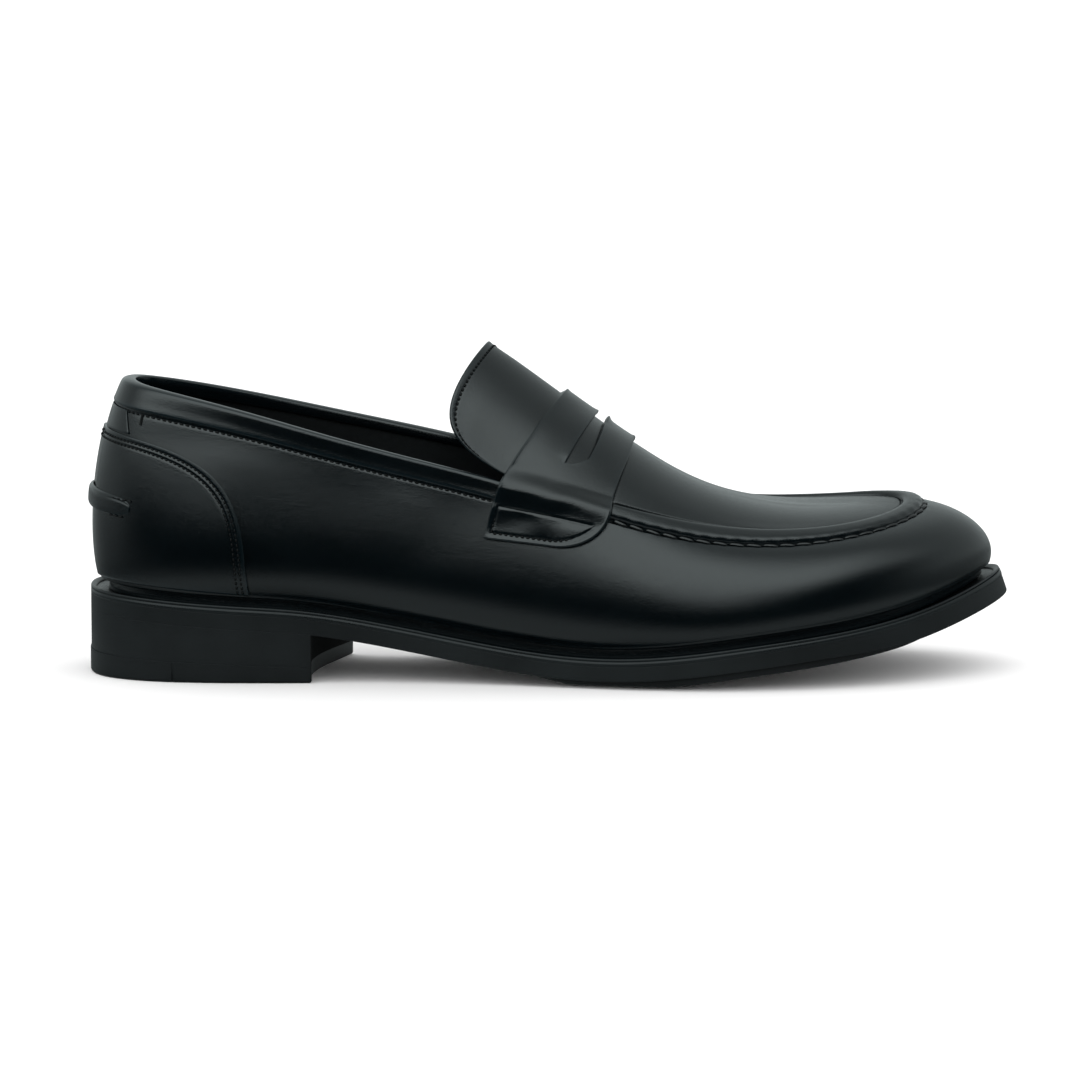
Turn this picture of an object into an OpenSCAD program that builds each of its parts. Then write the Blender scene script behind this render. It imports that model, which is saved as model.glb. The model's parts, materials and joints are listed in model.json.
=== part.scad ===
// Moccasin-toe penny loafer, right shoe. Millimetres.
// +X runs to the toe, +Y to the medial side, +Z up; the ground is Z = 0 and the
// footprint of the sole is centred on the origin.

/* [Size] */
// overall length of the outsole, heel to toe
shoe_length = 300; // [285:1:320]
// widest part of the outsole, at the ball of the foot
shoe_width = 104; // [98:1:110]

/* [Upper] */
// thickness of the upper leather
leather_t = 1.5; // [1.3:0.1:1.5]
// thickness of the lining leather
lining_t = 0.8; // [0.6:0.1:0.8]
// thickness of the saddle strap leather
strap_t = 1.7; // [1.3:0.1:2.2]
// height of the raised roll round the apron
roll_h = 1.9; // [1.0:0.1:2.6]
// how far the counter cover stands off the side wall
cover_t = 1.2; // [0.9:0.1:1.2]
// thickness of the topline binding on the outside
binding_t = 0.65; // [0.4:0.05:0.9]
// diameter of the sewing thread
thread_d = 0.7; // [0.5:0.05:0.9]

/* [Bottom] */
// depth from the top of the welt bead down to the outsole
welt_t = 2.6; // [2.3:0.1:2.9]
// depth of the outsole under the welt
outsole_t = 4.9; // [4.4:0.1:5]
// how far the forefoot tread stands below the outsole
tread_t = 3.6; // [3.2:0.1:3.8]
// height of the top lift at the heel breast; it grows taller to the back
lift_t = 5; // [3.5:0.5:6]
// distance from the middle of the shoe back to the heel breast, lateral side
breast_x = 75; // [68:1:80]
// how much further forward the heel breast sits on the medial side
breast_skew = 12; // [0:1:16]
// number of nails through the top lift
nail_count = 9; // [5:1:13]

/* [Last] */
// heights of the welt top along the shoe, heel to toe, one every fifteenth of its length
welt_line = [29.2, 27.9, 26.2, 24.9, 24.0, 20.8, 16.9, 13.2, 10.4,
             9.6, 11.0, 13.8, 16.3, 19.0, 23.0, 29.6, 36.5];
// heights of the instep ridge from the tongue tip to the toe
ridge_line = [108.4, 97.9, 87.2, 76.4, 66.0, 59.0, 54.8, 53.2, 53.6, 55.0];

/* [Hidden] */
kx = shoe_length / 300;
ky = shoe_width / 104;
gap = 0.1;
stations = 24;

// plan outline of the sole: station 0 is the back of the heel, 12 the tip of the toe,
// 1 to 11 the lateral side, 13 to 23 the medial side
plan = [[-151, 0], [-148, -20], [-130, -33.5], [-100, -36], [-70, -35], [-40, -35.5],
        [-10, -41], [20, -49.5], [50, -54], [80, -51], [108, -41.5], [134, -24],
        [153, 6], [141, 30], [115, 45], [85, 52.5], [52, 52.5], [20, 42],
        [-10, 30.5], [-40, 25.5], [-70, 28.5], [-100, 33], [-130, 31.5], [-148, 19]];
// topline of the quarters, running on as the apron seam in front of the strap
topline = [[-139, 0, 95.6], [-136.5, -15, 94.7], [-122, -23.5, 92], [-97, -28.5, 86.3],
           [-68, -30, 77.8], [-40, -31, 70.8], [-12, -34.5, 64.3], [20, -38.5, 53.5],
           [48, -36.5, 46], [78, -33.5, 44.3], [102, -26.5, 47.3], [118.5, -12, 51],
           [125, 4, 54.2], [120.5, 18, 54.8], [102, 29, 52], [78, 35, 49], [48, 37, 50],
           [20, 37.5, 57], [-12, 33, 68.5], [-40, 31, 75.2], [-68, 30, 81],
           [-97, 28.5, 87.3], [-122, 23.5, 92.2], [-136.5, 15, 94.7]];
// wall shape at stations 0 to 12, the same on both sides: feather inset, the outward and
// upward reach of the two wall handles, the same for the crown, and the ridge position
wall = [[3.6, 4, 19, 8.5, 15, 0, 30, -60], [3.6, 4.5, 17, 7, 16, 0, 30, -60],
        [3.6, 5.5, 15, 3.5, 16, 0, 30, -55], [3.8, 8, 12.5, 0.4, 14.5, 0, 26, -50],
        [4, 9, 10.5, -0.2, 13.5, 1, 24, -42], [4.2, 10.5, 8.5, -0.5, 12.5, 2, 20, -20],
        [4.4, 10.5, 7, 0.6, 12, 4, 14, 5], [4.4, 5.5, 8, 7, 10, 7, 10, 29],
        [4.4, 3, 8, 10, 6.5, 8, 6.5, 51], [4.4, 2.8, 8, 11, 4.5, 7.5, 5, 74],
        [4.4, 2.8, 8.5, 12, 2.5, 8, 3.5, 90], [4.3, 2.8, 9, 13, 1.5, 8, 2, 97],
        [4.2, 2.8, 9, 13.5, 1, 8, 1, 99]];
walls = [for (i = [0:stations - 1]) wall[min(i, stations - i)]];

// ---------------------------------------------------------------- curves
function w4(f) = [(1 - f)^3, 3*f^3 - 6*f^2 + 4, -3*f^3 + 3*f^2 + 3*f + 1, f^3] / 6;
function wrap(k, n) = ((k % n) + n) % n;
function ring(P, u) = let (n = len(P), i = floor(u), w = w4(u - i))
    P[wrap(i - 1, n)]*w[0] + P[wrap(i, n)]*w[1] + P[wrap(i + 1, n)]*w[2] + P[wrap(i + 2, n)]*w[3];
function ends(P, k) = k < 0 ? 2*P[0] - P[1] : k > len(P) - 1 ? 2*P[len(P) - 1] - P[len(P) - 2] : P[k];
function run(P, t) = let (i = max(0, min(len(P) - 2, floor(t))), w = w4(t - i))
    ends(P, i - 1)*w[0] + ends(P, i)*w[1] + ends(P, i + 1)*w[2] + ends(P, i + 2)*w[3];
function unit(v) = v / max(1e-9, norm(v));
function lerp(a, b, t) = a + (b - a)*t;
function ease(t) = let (s = max(0, min(1, t))) s*s*(3 - 2*s);

trace = [for (i = [0:479]) ring(plan, i/20)];
lo = [min([for (p = trace) p[0]]), min([for (p = trace) p[1]])];
hi = [max([for (p = trace) p[0]]), max([for (p = trace) p[1]])];
mid = (lo + hi)/2;
fitx = shoe_length/(hi[0] - lo[0]);
fity = shoe_width/(hi[1] - lo[1]);

function outline(u) = let (p = ring(plan, u) - mid) [p[0]*fitx, p[1]*fity];
function outward(u) = let (t = unit(outline(u + 0.01) - outline(u - 0.01))) [t[1], -t[0]];
function z_welt(x) = run(welt_line, (x/kx + 160)/20);
function z_ridge(x) = run(ridge_line, (x/kx + 20)/15);
function y_ridge(x) = max(0, min(5, (x/kx - 10)*0.045))*ky;

// ---------------------------------------------------------------- outer surface of the upper
// u goes round the shoe by station; v is 0 at the feather edge, 1 at the topline or apron
// seam and 2 on the instep ridge; below 0 the leather turns in under the insole
function bez(a, b, c, d, t) = a*(1 - t)^3 + 3*b*t*(1 - t)^2 + 3*c*t*t*(1 - t) + d*t^3;
function skin(u, v) = let (
    s = ring(walls, u), o = outline(u), n = outward(u), n3 = [n[0], n[1], 0], up = [0, 0, 1],
    fx = o - n*s[0], F = [fx[0], fx[1], z_welt(fx[0]) + 3],
    tp = ring(topline, u), T = [tp[0]*kx, tp[1]*ky, tp[2]])
    v < 0 ? F - n3*2.8*(1 - cos(-v*450)) - up*3.9*sin(-v*450)
    : v <= 1 ? bez(F, F + n3*s[1] + up*s[2], T + n3*s[3] - up*s[4], T, v)
    : let (x = s[7]*kx, R = [x, y_ridge(x), z_ridge(x)], h = [T[0] - R[0], T[1] - R[1], 0])
      bez(T, T - n3*s[5] + up*s[6], R + [h[0]*0.125, h[1]*0.5, 0], R, v - 1);
function normal(u, v) = v > 1.999
    ? let (x = ring(walls, u)[7]*kx) unit([z_ridge(x - 0.5) - z_ridge(x + 0.5), 0, 1])
    : let (e = 0.02, hi_v = v < 1 && v + e > 1 ? 1 : v < 0 && v + e > 0 ? 0 : v + e,
           lo_v = v >= 1 && v - e < 1 ? 1 : v >= 0 && v - e < 0 ? 0 : v - e)
      unit(cross(skin(u + e, v) - skin(u - e, v), skin(u, hi_v) - skin(u, lo_v)));
function at(u, v, d) = skin(u, v) + normal(u, v)*d;

// ---------------------------------------------------------------- sheets and threads
// a solid sheet from a grid of [u, v, outer offset, inner offset]
module sheet(G, loop = false) {
    n = len(G); m = len(G[0]); N = n*m;
    pts = [for (r = G) for (c = r) at(c[0], c[1], c[2])];
    pin = [for (r = G) for (c = r) at(c[0], c[1], c[3])];
    solid_grid(pts, pin, n, m, loop);
}
module solid_grid(pts, pin, n, m, loop) {
    N = n*m; last = loop ? n - 1 : n - 2;
    function id(i, j) = (i % n)*m + j;
    faces = [
        for (i = [0:last], j = [0:m - 2]) let (a = id(i, j), b = id(i, j + 1), c = id(i + 1, j + 1), d = id(i + 1, j))
            each [[a, b, c], [a, c, d], [a + N, c + N, b + N], [a + N, d + N, c + N]],
        for (i = [0:last]) let (a = id(i, 0), d = id(i + 1, 0), b = id(i, m - 1), c = id(i + 1, m - 1))
            each [[a, d, d + N], [a, d + N, a + N], [c, b, b + N], [c, b + N, c + N]],
        if (!loop) for (j = [0:m - 2]) let (a = id(0, j), b = id(0, j + 1), c = id(n - 1, j), d = id(n - 1, j + 1))
            each [[b, a, a + N], [b, a + N, b + N], [c, d, d + N], [c, d + N, c + N]]
    ];
    polyhedron(concat(pts, pin), faces, convexity = 8);
}
// a sheet over the forefoot whose two sides join along the ridge
module crown(U, V, dout, din) {
    A = len(U) - 1; m = len(V) - 1; N = (A + 1)*(m + 1);
    function id(a, j) = (j == m ? min(a, A - a) : a)*(m + 1) + j;
    pts = [for (u = U) for (v = V) at(u, v, dout)];
    pin = [for (u = U) for (v = V) at(u, v, din)];
    faces = [
        for (i = [0:A - 1], j = [0:m - 1]) let (a = id(i, j), b = id(i, j + 1), c = id(i + 1, j + 1), d = id(i + 1, j))
            each [[a, b, c], [a, c, d], [a + N, c + N, b + N], [a + N, d + N, c + N]],
        for (i = [0:A - 1]) let (a = id(i, 0), d = id(i + 1, 0)) each [[a, d, d + N], [a, d + N, a + N]],
        for (j = [0:m - 1]) let (a = id(0, j), b = id(0, j + 1), c = id(A, j), d = id(A, j + 1))
            each [[b, a, a + N], [b, a + N, b + N], [c, d, d + N], [c, d + N, c + N]]
    ];
    polyhedron(concat(pts, pin), faces, convexity = 8);
}
// a thread laid along a list of [u, v, height of its centre]
module thread(W, r = thread_d/2, sides = 5) {
    n = len(W);
    C = [for (w = W) at(w[0], w[1], w[2])];
    M = [for (w = W) normal(w[0], w[1])];
    pts = [for (i = [0:n - 1]) let (t = unit(C[min(n - 1, i + 1)] - C[max(0, i - 1)]), b = unit(cross(t, M[i])), q = cross(b, t))
        for (k = [0:sides - 1]) C[i] + r*(cos(k*360/sides)*q + sin(k*360/sides)*b)];
    faces = [
        for (i = [0:n - 2], k = [0:sides - 1]) let (a = i*sides + k, b = i*sides + (k + 1) % sides)
            each [[a, a + sides, b + sides], [a, b + sides, b]],
        [for (k = [0:sides - 1]) k], [for (k = [sides - 1:-1:0]) (n - 1)*sides + k]
    ];
    polyhedron(pts, faces, convexity = 8);
}
function span(a, b, n) = [for (i = [0:n]) lerp(a, b, i/n)];
function far(W) = [for (i = [len(W) - 1:-1:0]) [stations - W[i][0], W[i][1], W[i][2]]];

// ---------------------------------------------------------------- bottom parts
module foot(inset = 0, n = 96) {
    polygon([for (i = [0:n - 1]) let (u = i*stations/n) outline(u) - outward(u)*inset]);
}
module slab(x0, x1, zl, zh, n = 48) {
    xs = span(x0, x1, n);
    rotate([90, 0, 0]) translate([0, 0, -100]) linear_extrude(200)
        polygon([for (x = xs) [x, zl(x)], for (i = [n:-1:0]) [xs[i], zh(xs[i])]]);
}
module layer(inset, x0, x1, zl, zh) {
    intersection() {
        slab(x0, x1, zl, zh);
        translate([0, 0, -5]) linear_extrude(90) foot(inset);
    }
}
half = shoe_length/2 + 5;
z_under = function(x) z_welt(x) - welt_t - outsole_t;
z_lift = function(x) lift_t + 2.8*(-x/kx - 75)/75;

module breast(grow = 0) {
    // plan region behind the heel breast: a shallow hollow curve, further forward medially
    n = 16;
    polygon(concat([[-half, -80], [-breast_x*kx + grow, -80]],
        [for (i = [0:n]) let (t = i/n) [-breast_x*kx + grow + breast_skew*ease(t) - 5*sin(180*t),
                                        lerp(-40, 36, t)]],
        [[-breast_x*kx + grow + breast_skew, 80], [-half, 80]]));
}
module outsole() color([0.06, 0.065, 0.07])
    layer(0, -half, half, z_under, function(x) z_welt(x) - welt_t - 0.02);
module tread_forefoot() color([0.05, 0.055, 0.06])
    layer(3.2, -6*kx, 141*kx, function(x) max(0, z_under(x) - tread_t + 2.2*ease((14 - x/kx)/20)
        + 2.2*ease((x/kx - 112)/28)), function(x) z_under(x) - 0.02);
module heel_block() color([0.055, 0.06, 0.065])
    intersection() {
        layer(0.25, -half, -breast_x*kx + 20, function(x) z_lift(x) + 0.02, function(x) z_under(x) - 0.05);
        linear_extrude(60) breast();
    }
module nail_places(r) {
    for (i = [0:nail_count - 1]) let (t = lerp(0.04, 0.96, i/(nail_count - 1)), u = lerp(-3, 3, t),
            p = outline(u) - outward(u)*11) translate([p[0], p[1], 0]) circle(r = r, $fn = 20);
}
module heel_top_lift() color([0.045, 0.05, 0.055])
    difference() {
        intersection() {
            layer(0, -half, -breast_x*kx + 20, function(x) 0, z_lift);
            linear_extrude(60) breast(0.6);
        }
        translate([0, 0, -1]) linear_extrude(30) nail_places(1.35);
    }
module heel_nails() color([0.55, 0.52, 0.45])
    intersection() {
        slab(-half, -breast_x*kx + 20, function(x) 0.3, function(x) z_lift(x) - 0.15);
        linear_extrude(60) nail_places(1.3);
    }
module edge_strip(inset, wide, zl, zh)
    difference() {
        layer(inset, -half, half, zl, zh);
        translate([0, 0, -5]) linear_extrude(90) foot(wide);
    }
module welt() color([0.075, 0.08, 0.085])
    edge_strip(0.3, 14, function(x) z_welt(x) - welt_t, function(x) z_welt(x) - 1);
module welt_bead() color([0.08, 0.085, 0.09])
    edge_strip(0.3, 2.3, function(x) z_welt(x) - 0.98, function(x) z_welt(x));
module bottom_filler() color([0.55, 0.4, 0.26])
    difference() {
        layer(14.2, -half, half, function(x) z_welt(x) - welt_t, function(x) z_welt(x) - 1.05);
        shank_shape(0.15);
    }
module shank_shape(g = 0) intersection() {
    slab(-104*kx - g, -8*kx + g, function(x) z_welt(x) - 2.15 - g, function(x) z_welt(x) - 1.1 + 4*g, 24);
    translate([0, 0, -5]) linear_extrude(90) hull() {
        translate([-98*kx, 0]) circle(r = 6 + g, $fn = 32);
        translate([-14*kx, 0]) circle(r = 6 + g, $fn = 32);
    }
}
module shank() color([0.6, 0.62, 0.64]) shank_shape();
module insole_board() color([0.62, 0.5, 0.36])
    layer(8.6, -half, half, function(x) z_welt(x) - 0.95, function(x) z_welt(x) + 2.1);
pad_rise = function(x) 2.4*ease((-58 - x/kx)/16);
module heel_pad() color([0.75, 0.7, 0.6])
    layer(13, -136*kx, -62*kx, function(x) z_welt(x) + 2.15, function(x) z_welt(x) + 2.15 + pad_rise(x));
module sock_lining() color([0.13, 0.12, 0.11])
    layer(10, -half, half, function(x) z_welt(x) + 2.3 + pad_rise(x), function(x) z_welt(x) + 3.2 + pad_rise(x));

// ---------------------------------------------------------------- upper
top_v = 0.985;
wall_u = span(0, stations, 72);
function rows(U, V, dout, din) = [for (u = U) [for (v = V) [u, v, dout, din]]];
function inner_u(a, b) = span(a, b, round((b - a)*3));
V_low = [0, 0.15, 0.3, 0.45, 0.6, 0.75, 0.88, top_v];
d_mid = leather_t + gap;
d_lin = d_mid + 0.7 + gap;
d_end = d_lin + lining_t;

module side_wall() color([0.1, 0.11, 0.115])
    sheet(rows([for (i = [0:71]) wall_u[i]], concat([-0.2, -0.1], [0], [for (i = [1:7]) V_low[i]]), 0, -leather_t), true);
module toe_puff() color([0.7, 0.66, 0.55])
    sheet(rows(inner_u(9, 15), V_low, -d_mid, -d_mid - 0.7));
module counter_stiffener() color([0.66, 0.6, 0.5])
    sheet(rows(inner_u(-3.333, 3.333), [for (i = [0:5]) V_low[i]], -d_mid, -d_mid - 0.7));
module vamp_lining() color([0.2, 0.18, 0.16])
    sheet(rows(inner_u(6, 18), V_low, -d_lin, -d_end));
module quarter_lining() color([0.2, 0.18, 0.16])
    sheet(rows(inner_u(-5.98, 5.98), V_low, -d_lin, -d_end));
module heel_grip() color([0.24, 0.21, 0.18])
    sheet(rows(inner_u(-2.667, 2.667), [for (i = [1:6]) V_low[i]], -d_end - gap, -d_end - gap - 0.8));

crown_u = concat(span(6.4, 9, 8), span(9.25, 14.75, 22), span(15, 17.6, 8));
module apron() color([0.11, 0.12, 0.125])
    crown(crown_u, [1.0, 1.08, 1.18, 1.3, 1.45, 1.62, 1.8, 2], 0, -leather_t);
module apron_lining() color([0.2, 0.18, 0.16])
    crown([for (i = [0:2:len(crown_u) - 1]) crown_u[i]], [1.02, 1.18, 1.45, 1.75, 2], -d_lin, -d_end);

// the roll that gathers the apron to the side wall
function roll_edge(u) = let (a = min(u, stations - u)) 1.14 + 0.107*sin(90*min(1, (a - 7)/2.1));
module apron_roll() color([0.12, 0.13, 0.135])
    sheet([for (u = span(7.06, stations - 7.06, 56)) let (w = roll_edge(u) - 1)
        [for (t = [0, 0.12, 0.3, 0.5, 0.7, 0.88, 1]) [u, 1 + w*t, 0.12 + roll_h*(sin(180*t))^0.75, 0.05]]]);
module apron_stitching() color([0.04, 0.04, 0.04])
    thread([for (u = span(7.06, stations - 7.06, 60)) [u, 0.992, 0.25]], thread_d*0.6);

// on the medial side the strap and the tongue sit a little further forward, in stations
strap_ahead = 0.055; tongue_ahead = 0.14;
// saddle strap: edges in terms of the height up the wall
function strap_rear(v) = 6.03 - 0.34*(max(0, 1.45 - v)/0.813)^1.5;
function strap_front(v) = 6.99 - 0.07*(max(0, v - 1.5)/0.5)^2;
function strap_foot(u) = 0.637 + 0.066*(u - 5.69) + (u > 6.41 ? 0.29*(1 - sqrt(max(0, 1 - ((u - 6.41)/0.58)^2))) : 0);
strap_cols = [0, 0.1, 0.25, 0.4, 0.55, 0.68, 0.78, 0.86, 0.92, 0.965, 1];
function strap_line(t, inset = 0) = let (v0 = strap_foot(5.69 + 1.3*t) + inset)
    [for (s = [0, 0.06, 0.14, 0.22, 0.3, 0.38, 0.46, 0.54, 0.62, 0.7, 0.78, 0.86, 0.93, 1])
        let (v = lerp(v0, 2, s)) [lerp(strap_rear(v), strap_front(v), t), v]];
function both(L, ahead = 0) = concat(L, [for (i = [len(L) - 2:-1:0])
    let (v = L[i][1]) [stations - L[i][0] - ahead*(1 - exp((v - 2)/0.12))*ease((v - 1.083)/0.12), v]]);
function slot_front(v) = let (t = (v - 1.3)/0.7) 6.44 + 0.2*(min(1, t/0.17))^0.6*(1 - 0.3*ease((t - 0.3)/0.7));
module slot_cutter() {
    V = [1.3, 1.31, 1.33, 1.36, 1.4, 1.45, 1.52, 1.6, 1.7, 1.8, 1.9, 2];
    rowsN = [for (t = [0, 0.5, 1]) both([for (v = V) [lerp(6.43, max(6.432, slot_front(v)), t), v]], strap_ahead)];
    sheet([for (r = rowsN) [for (c = r) [c[0], c[1], strap_t + 1, -0.5]]]);
}
module saddle_strap() color([0.12, 0.13, 0.135])
    difference() {
        sheet([for (t = strap_cols) [for (c = both(strap_line(t), strap_ahead)) [c[0], c[1], strap_t + 0.05, 0.05]]]);
        slot_cutter();
    }
function strap_box() = concat(
    [for (v = span(0.83, 0.7, 6)) [strap_rear(v) + 0.05, v]],
    [for (u = span(5.8, 6.4, 8)) [u, strap_foot(u) + 0.024]],
    [for (u = [6.5, 6.58, 6.65, 6.71, 6.76, 6.8, 6.83]) [u, strap_foot(u) + 0.024 + 0.11*(u - 6.4)^2]],
    [[6.85, 0.858], [6.852, 0.87], [6.838, 0.878]],
    [for (t = span(0.06, 1, 8)) [lerp(6.85, 5.9, t), 0.876 - 0.043*t^1.3]]);
module strap_stitching() color([0.05, 0.05, 0.05]) {
    L = [for (p = strap_box()) [p[0], p[1], strap_t + 0.05 + thread_d*0.3]];
    thread(L);
    thread(far(L));
}

// tongue: free edge behind the strap, root tucked under it
function tongue_free(v) = 5.03 + 0.087*(2 - v) + 0.85*exp(-(v - 1.083)/0.1);
function tongue_root(v) = 6.0 + 0.3*ease((v - 1.15)/0.35);
function tongue_drop(v) = 0.36 + 1.0*(1 - ease((v - 1.08)/0.45));
tongue_v = [1.083, 1.1, 1.12, 1.145, 1.175, 1.215, 1.27, 1.34, 1.43, 1.55, 1.7, 1.85, 2];
module tongue_sheet(d0, d1, inset = 0)
    sheet([for (s = [0, 0.06, 0.2, 0.4, 0.6, 0.8, 1])
        [for (c = both([for (v = tongue_v) [lerp(tongue_free(v) + inset, tongue_root(v), s), v]], tongue_ahead*(1 - s)))
            let (d = tongue_drop(c[1])) [c[0], c[1], -d - d0, -d - d1]]]);
module tongue() color([0.11, 0.12, 0.125]) tongue_sheet(0, 1.3);
module tongue_lining() color([0.2, 0.18, 0.16]) tongue_sheet(1.35, 2.1, 0.02);
module tongue_stitching() color([0.05, 0.05, 0.05]) {
    L = [for (v = [1.15, 1.165, 1.185, 1.21, 1.24, 1.28, 1.33, 1.39, 1.46, 1.54, 1.62, 1.7, 1.8, 1.9, 2])
        [tongue_free(v) + 0.06, v]];
    thread([for (c = both(L, tongue_ahead*0.94)) [c[0], c[1], -tongue_drop(c[1]) + thread_d*0.3]]);
}

// topline binding: a folded strip over the edge of the quarters
bind_v = 0.873;
function bind_pt(u, c) = at(u, c[0], c[1]) + unit(skin(u, 1) - skin(u, 0.97))*c[2];
module topline_binding() color([0.1, 0.11, 0.115]) {
    U = span(-5.79, 5.79, 46);
    b = binding_t; e = d_end + gap;
    O = [[bind_v, b*0.7, 0], [bind_v + 0.015, b + 0.05, 0], [0.95, b + 0.05, 0], [0.985, b, 0], [1, b*0.5, 0.7], [1, -d_end/2, 0.95],
         [1, -d_end + 0.2, 0.7], [0.985, -e - 0.6, 0], [0.93, -e - 0.6, 0]];
    I = [[bind_v, 0.05, 0], [bind_v + 0.015, 0.05, 0], [0.95, 0.05, 0], [0.985, 0.05, 0], [1, 0.02, 0.08], [1, -d_end/2, 0.1],
         [1, -d_end + 0.2, 0.08], [0.985, -e, 0], [0.93, -e, 0]];
    solid_grid([for (u = U) for (c = O) bind_pt(u, c)], [for (u = U) for (c = I) bind_pt(u, c)], len(U), len(O), false);
}
module topline_stitching() color([0.05, 0.05, 0.05])
    thread([for (u = span(-5.72, 5.72, 64)) [u, bind_v - 0.018, thread_d*0.3]]);

// counter cover: a second skin round the heel with a squared, round-cornered front
cover_w = 2.97; cover_h = 0.733;
function cover_top(u, w = cover_w, h = cover_h) = h*(1 - (min(1, abs(u)/w))^5)^0.2;
function flare(u, v) = u*(1 + 0.05*(u/cover_w)^2*max(0, 0.6 - v)/0.6);
cover_u = concat([for (i = [0:8]) i/3], [2.76, 2.84, 2.9, 2.94, 2.962]);
module counter_cover() color([0.115, 0.125, 0.13])
    sheet([for (i = [-13:13]) let (u = sign(i)*cover_u[abs(i)])
        [for (t = [0, 0.2, 0.4, 0.6, 0.75, 0.88, 0.96, 1]) let (v = lerp(0.03, cover_top(u), t))
            [flare(u, v), v, cover_t + 0.05 - 0.35*ease((t - 0.96)/0.04), 0.05]]]);
function cover_row(k) = let (w = cover_w - 0.055*k, h = cover_h - 0.022*k)
    concat([for (v = span(0.07, 0.36, 4)) [w - 0.004, v]],
           [for (u = [0.995, 0.985, 0.97, 0.95, 0.92, 0.88, 0.83, 0.76, 0.66, 0.52, 0.36, 0.2, 0]) [u*w, cover_top(u*w, w, h)]]);
module counter_stitching() color([0.05, 0.05, 0.05])
    for (k = [1, 2]) let (R = cover_row(k), L = [for (p = R) [flare(p[0], p[1]), p[1], cover_t + 0.05 + thread_d*0.3]])
        thread(concat([for (p = L) [-p[0], p[1], p[2]]], [for (i = [len(L) - 2:-1:0]) L[i]]));
module heel_tab() color([0.12, 0.13, 0.135])
    sheet([for (u = [-1.4, -1.36, -1.25, -1, -0.65, -0.3, 0, 0.3, 0.65, 1, 1.25, 1.36, 1.4]) let (w = 0.046*(1 - (abs(u)/1.42)^12)^0.5)
        [for (t = [-1, -0.6, 0.6, 1]) [u, 0.412 + w*t, cover_t + 0.15 + 1.3 - 0.5*abs(t)^4, cover_t + 0.15]]]);
module back_strip() color([0.11, 0.12, 0.125])
    sheet([for (t = span(-1, 1, 8)) [for (v = [0.744, 0.78, 0.82, 0.848]) [t*lerp(1.28, 1.1, (v - 0.744)/0.104), v, 0.9, 0.12]]]);
module bartacks() color([0.04, 0.04, 0.04])
    for (s = [-1, 1]) thread([for (v = span(0.812, 0.85, 3)) [s*1.48, v, 0.2]], 0.6);

outsole();
tread_forefoot();
heel_block();
heel_top_lift();
heel_nails();
welt();
welt_bead();
bottom_filler();
shank();
insole_board();
heel_pad();
sock_lining();
side_wall();
apron();
apron_roll();
apron_stitching();
saddle_strap();
strap_stitching();
tongue();
tongue_lining();
tongue_stitching();
topline_binding();
topline_stitching();
counter_cover();
counter_stitching();
back_strip();
heel_tab();
bartacks();
toe_puff();
counter_stiffener();
vamp_lining();
apron_lining();
quarter_lining();
heel_grip();
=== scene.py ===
import json
import math

import bpy
import numpy as np
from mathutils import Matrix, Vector


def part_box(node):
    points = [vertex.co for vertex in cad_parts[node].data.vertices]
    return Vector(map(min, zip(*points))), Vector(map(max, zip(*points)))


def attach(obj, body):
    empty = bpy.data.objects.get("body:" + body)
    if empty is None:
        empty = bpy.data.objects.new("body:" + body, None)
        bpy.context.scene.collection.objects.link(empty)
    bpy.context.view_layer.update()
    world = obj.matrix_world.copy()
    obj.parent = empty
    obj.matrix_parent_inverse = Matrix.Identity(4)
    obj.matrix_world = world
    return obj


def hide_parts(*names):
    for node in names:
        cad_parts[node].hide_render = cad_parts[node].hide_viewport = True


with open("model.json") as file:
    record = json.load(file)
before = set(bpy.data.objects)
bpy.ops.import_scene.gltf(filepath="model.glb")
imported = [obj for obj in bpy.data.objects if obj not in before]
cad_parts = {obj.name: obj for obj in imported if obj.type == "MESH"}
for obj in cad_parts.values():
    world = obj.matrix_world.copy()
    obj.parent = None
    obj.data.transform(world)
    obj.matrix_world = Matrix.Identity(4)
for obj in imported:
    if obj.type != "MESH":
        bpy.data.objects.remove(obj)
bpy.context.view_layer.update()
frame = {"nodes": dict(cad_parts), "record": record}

MM = 0.001

# ---- size, from the frame
sole_lo, sole_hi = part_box("outsole")
LENGTH = round((sole_hi.x - sole_lo.x)/MM)
WIDTH = round((sole_hi.y - sole_lo.y)/MM)
KX, KY = LENGTH/300, WIDTH/104

# ---- design curves, as in the CAD (mm)
# PLAN is the sole's outline and TOPLINE the line of the topline and apron seam, by station.
# WALL has, from the heel to the toe: how far the feather edge is in from the outline, the
# wall's lower handle (out, up) and upper handle (out, down), the crown's handle (in, up), and
# where along the ridge the crown ends.
STATIONS = 24
PLAN = np.array([[-151, 0], [-148, -20], [-130, -33.5], [-100, -36], [-70, -35], [-40, -35.5],
                 [-10, -41], [20, -49.5], [50, -54], [80, -51], [108, -41.5], [134, -24],
                 [153, 6], [141, 30], [115, 45], [85, 52.5], [52, 52.5], [20, 42],
                 [-10, 30.5], [-40, 25.5], [-70, 28.5], [-100, 33], [-130, 31.5], [-148, 19]], float)
TOPLINE = np.array([[-139, 0, 95.6], [-136.5, -15, 94.7], [-122, -23.5, 92], [-97, -28.5, 86.3],
                    [-68, -30, 77.8], [-40, -31, 70.8], [-12, -34.5, 64.3], [20, -38.5, 53.5],
                    [48, -36.5, 46], [78, -33.5, 44.3], [102, -26.5, 47.3], [118.5, -12, 51],
                    [125, 4, 54.2], [120.5, 18, 54.8], [102, 29, 52], [78, 35, 49], [48, 37, 50],
                    [20, 37.5, 57], [-12, 33, 68.5], [-40, 31, 75.2], [-68, 30, 81],
                    [-97, 28.5, 87.3], [-122, 23.5, 92.2], [-136.5, 15, 94.7]], float)
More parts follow.
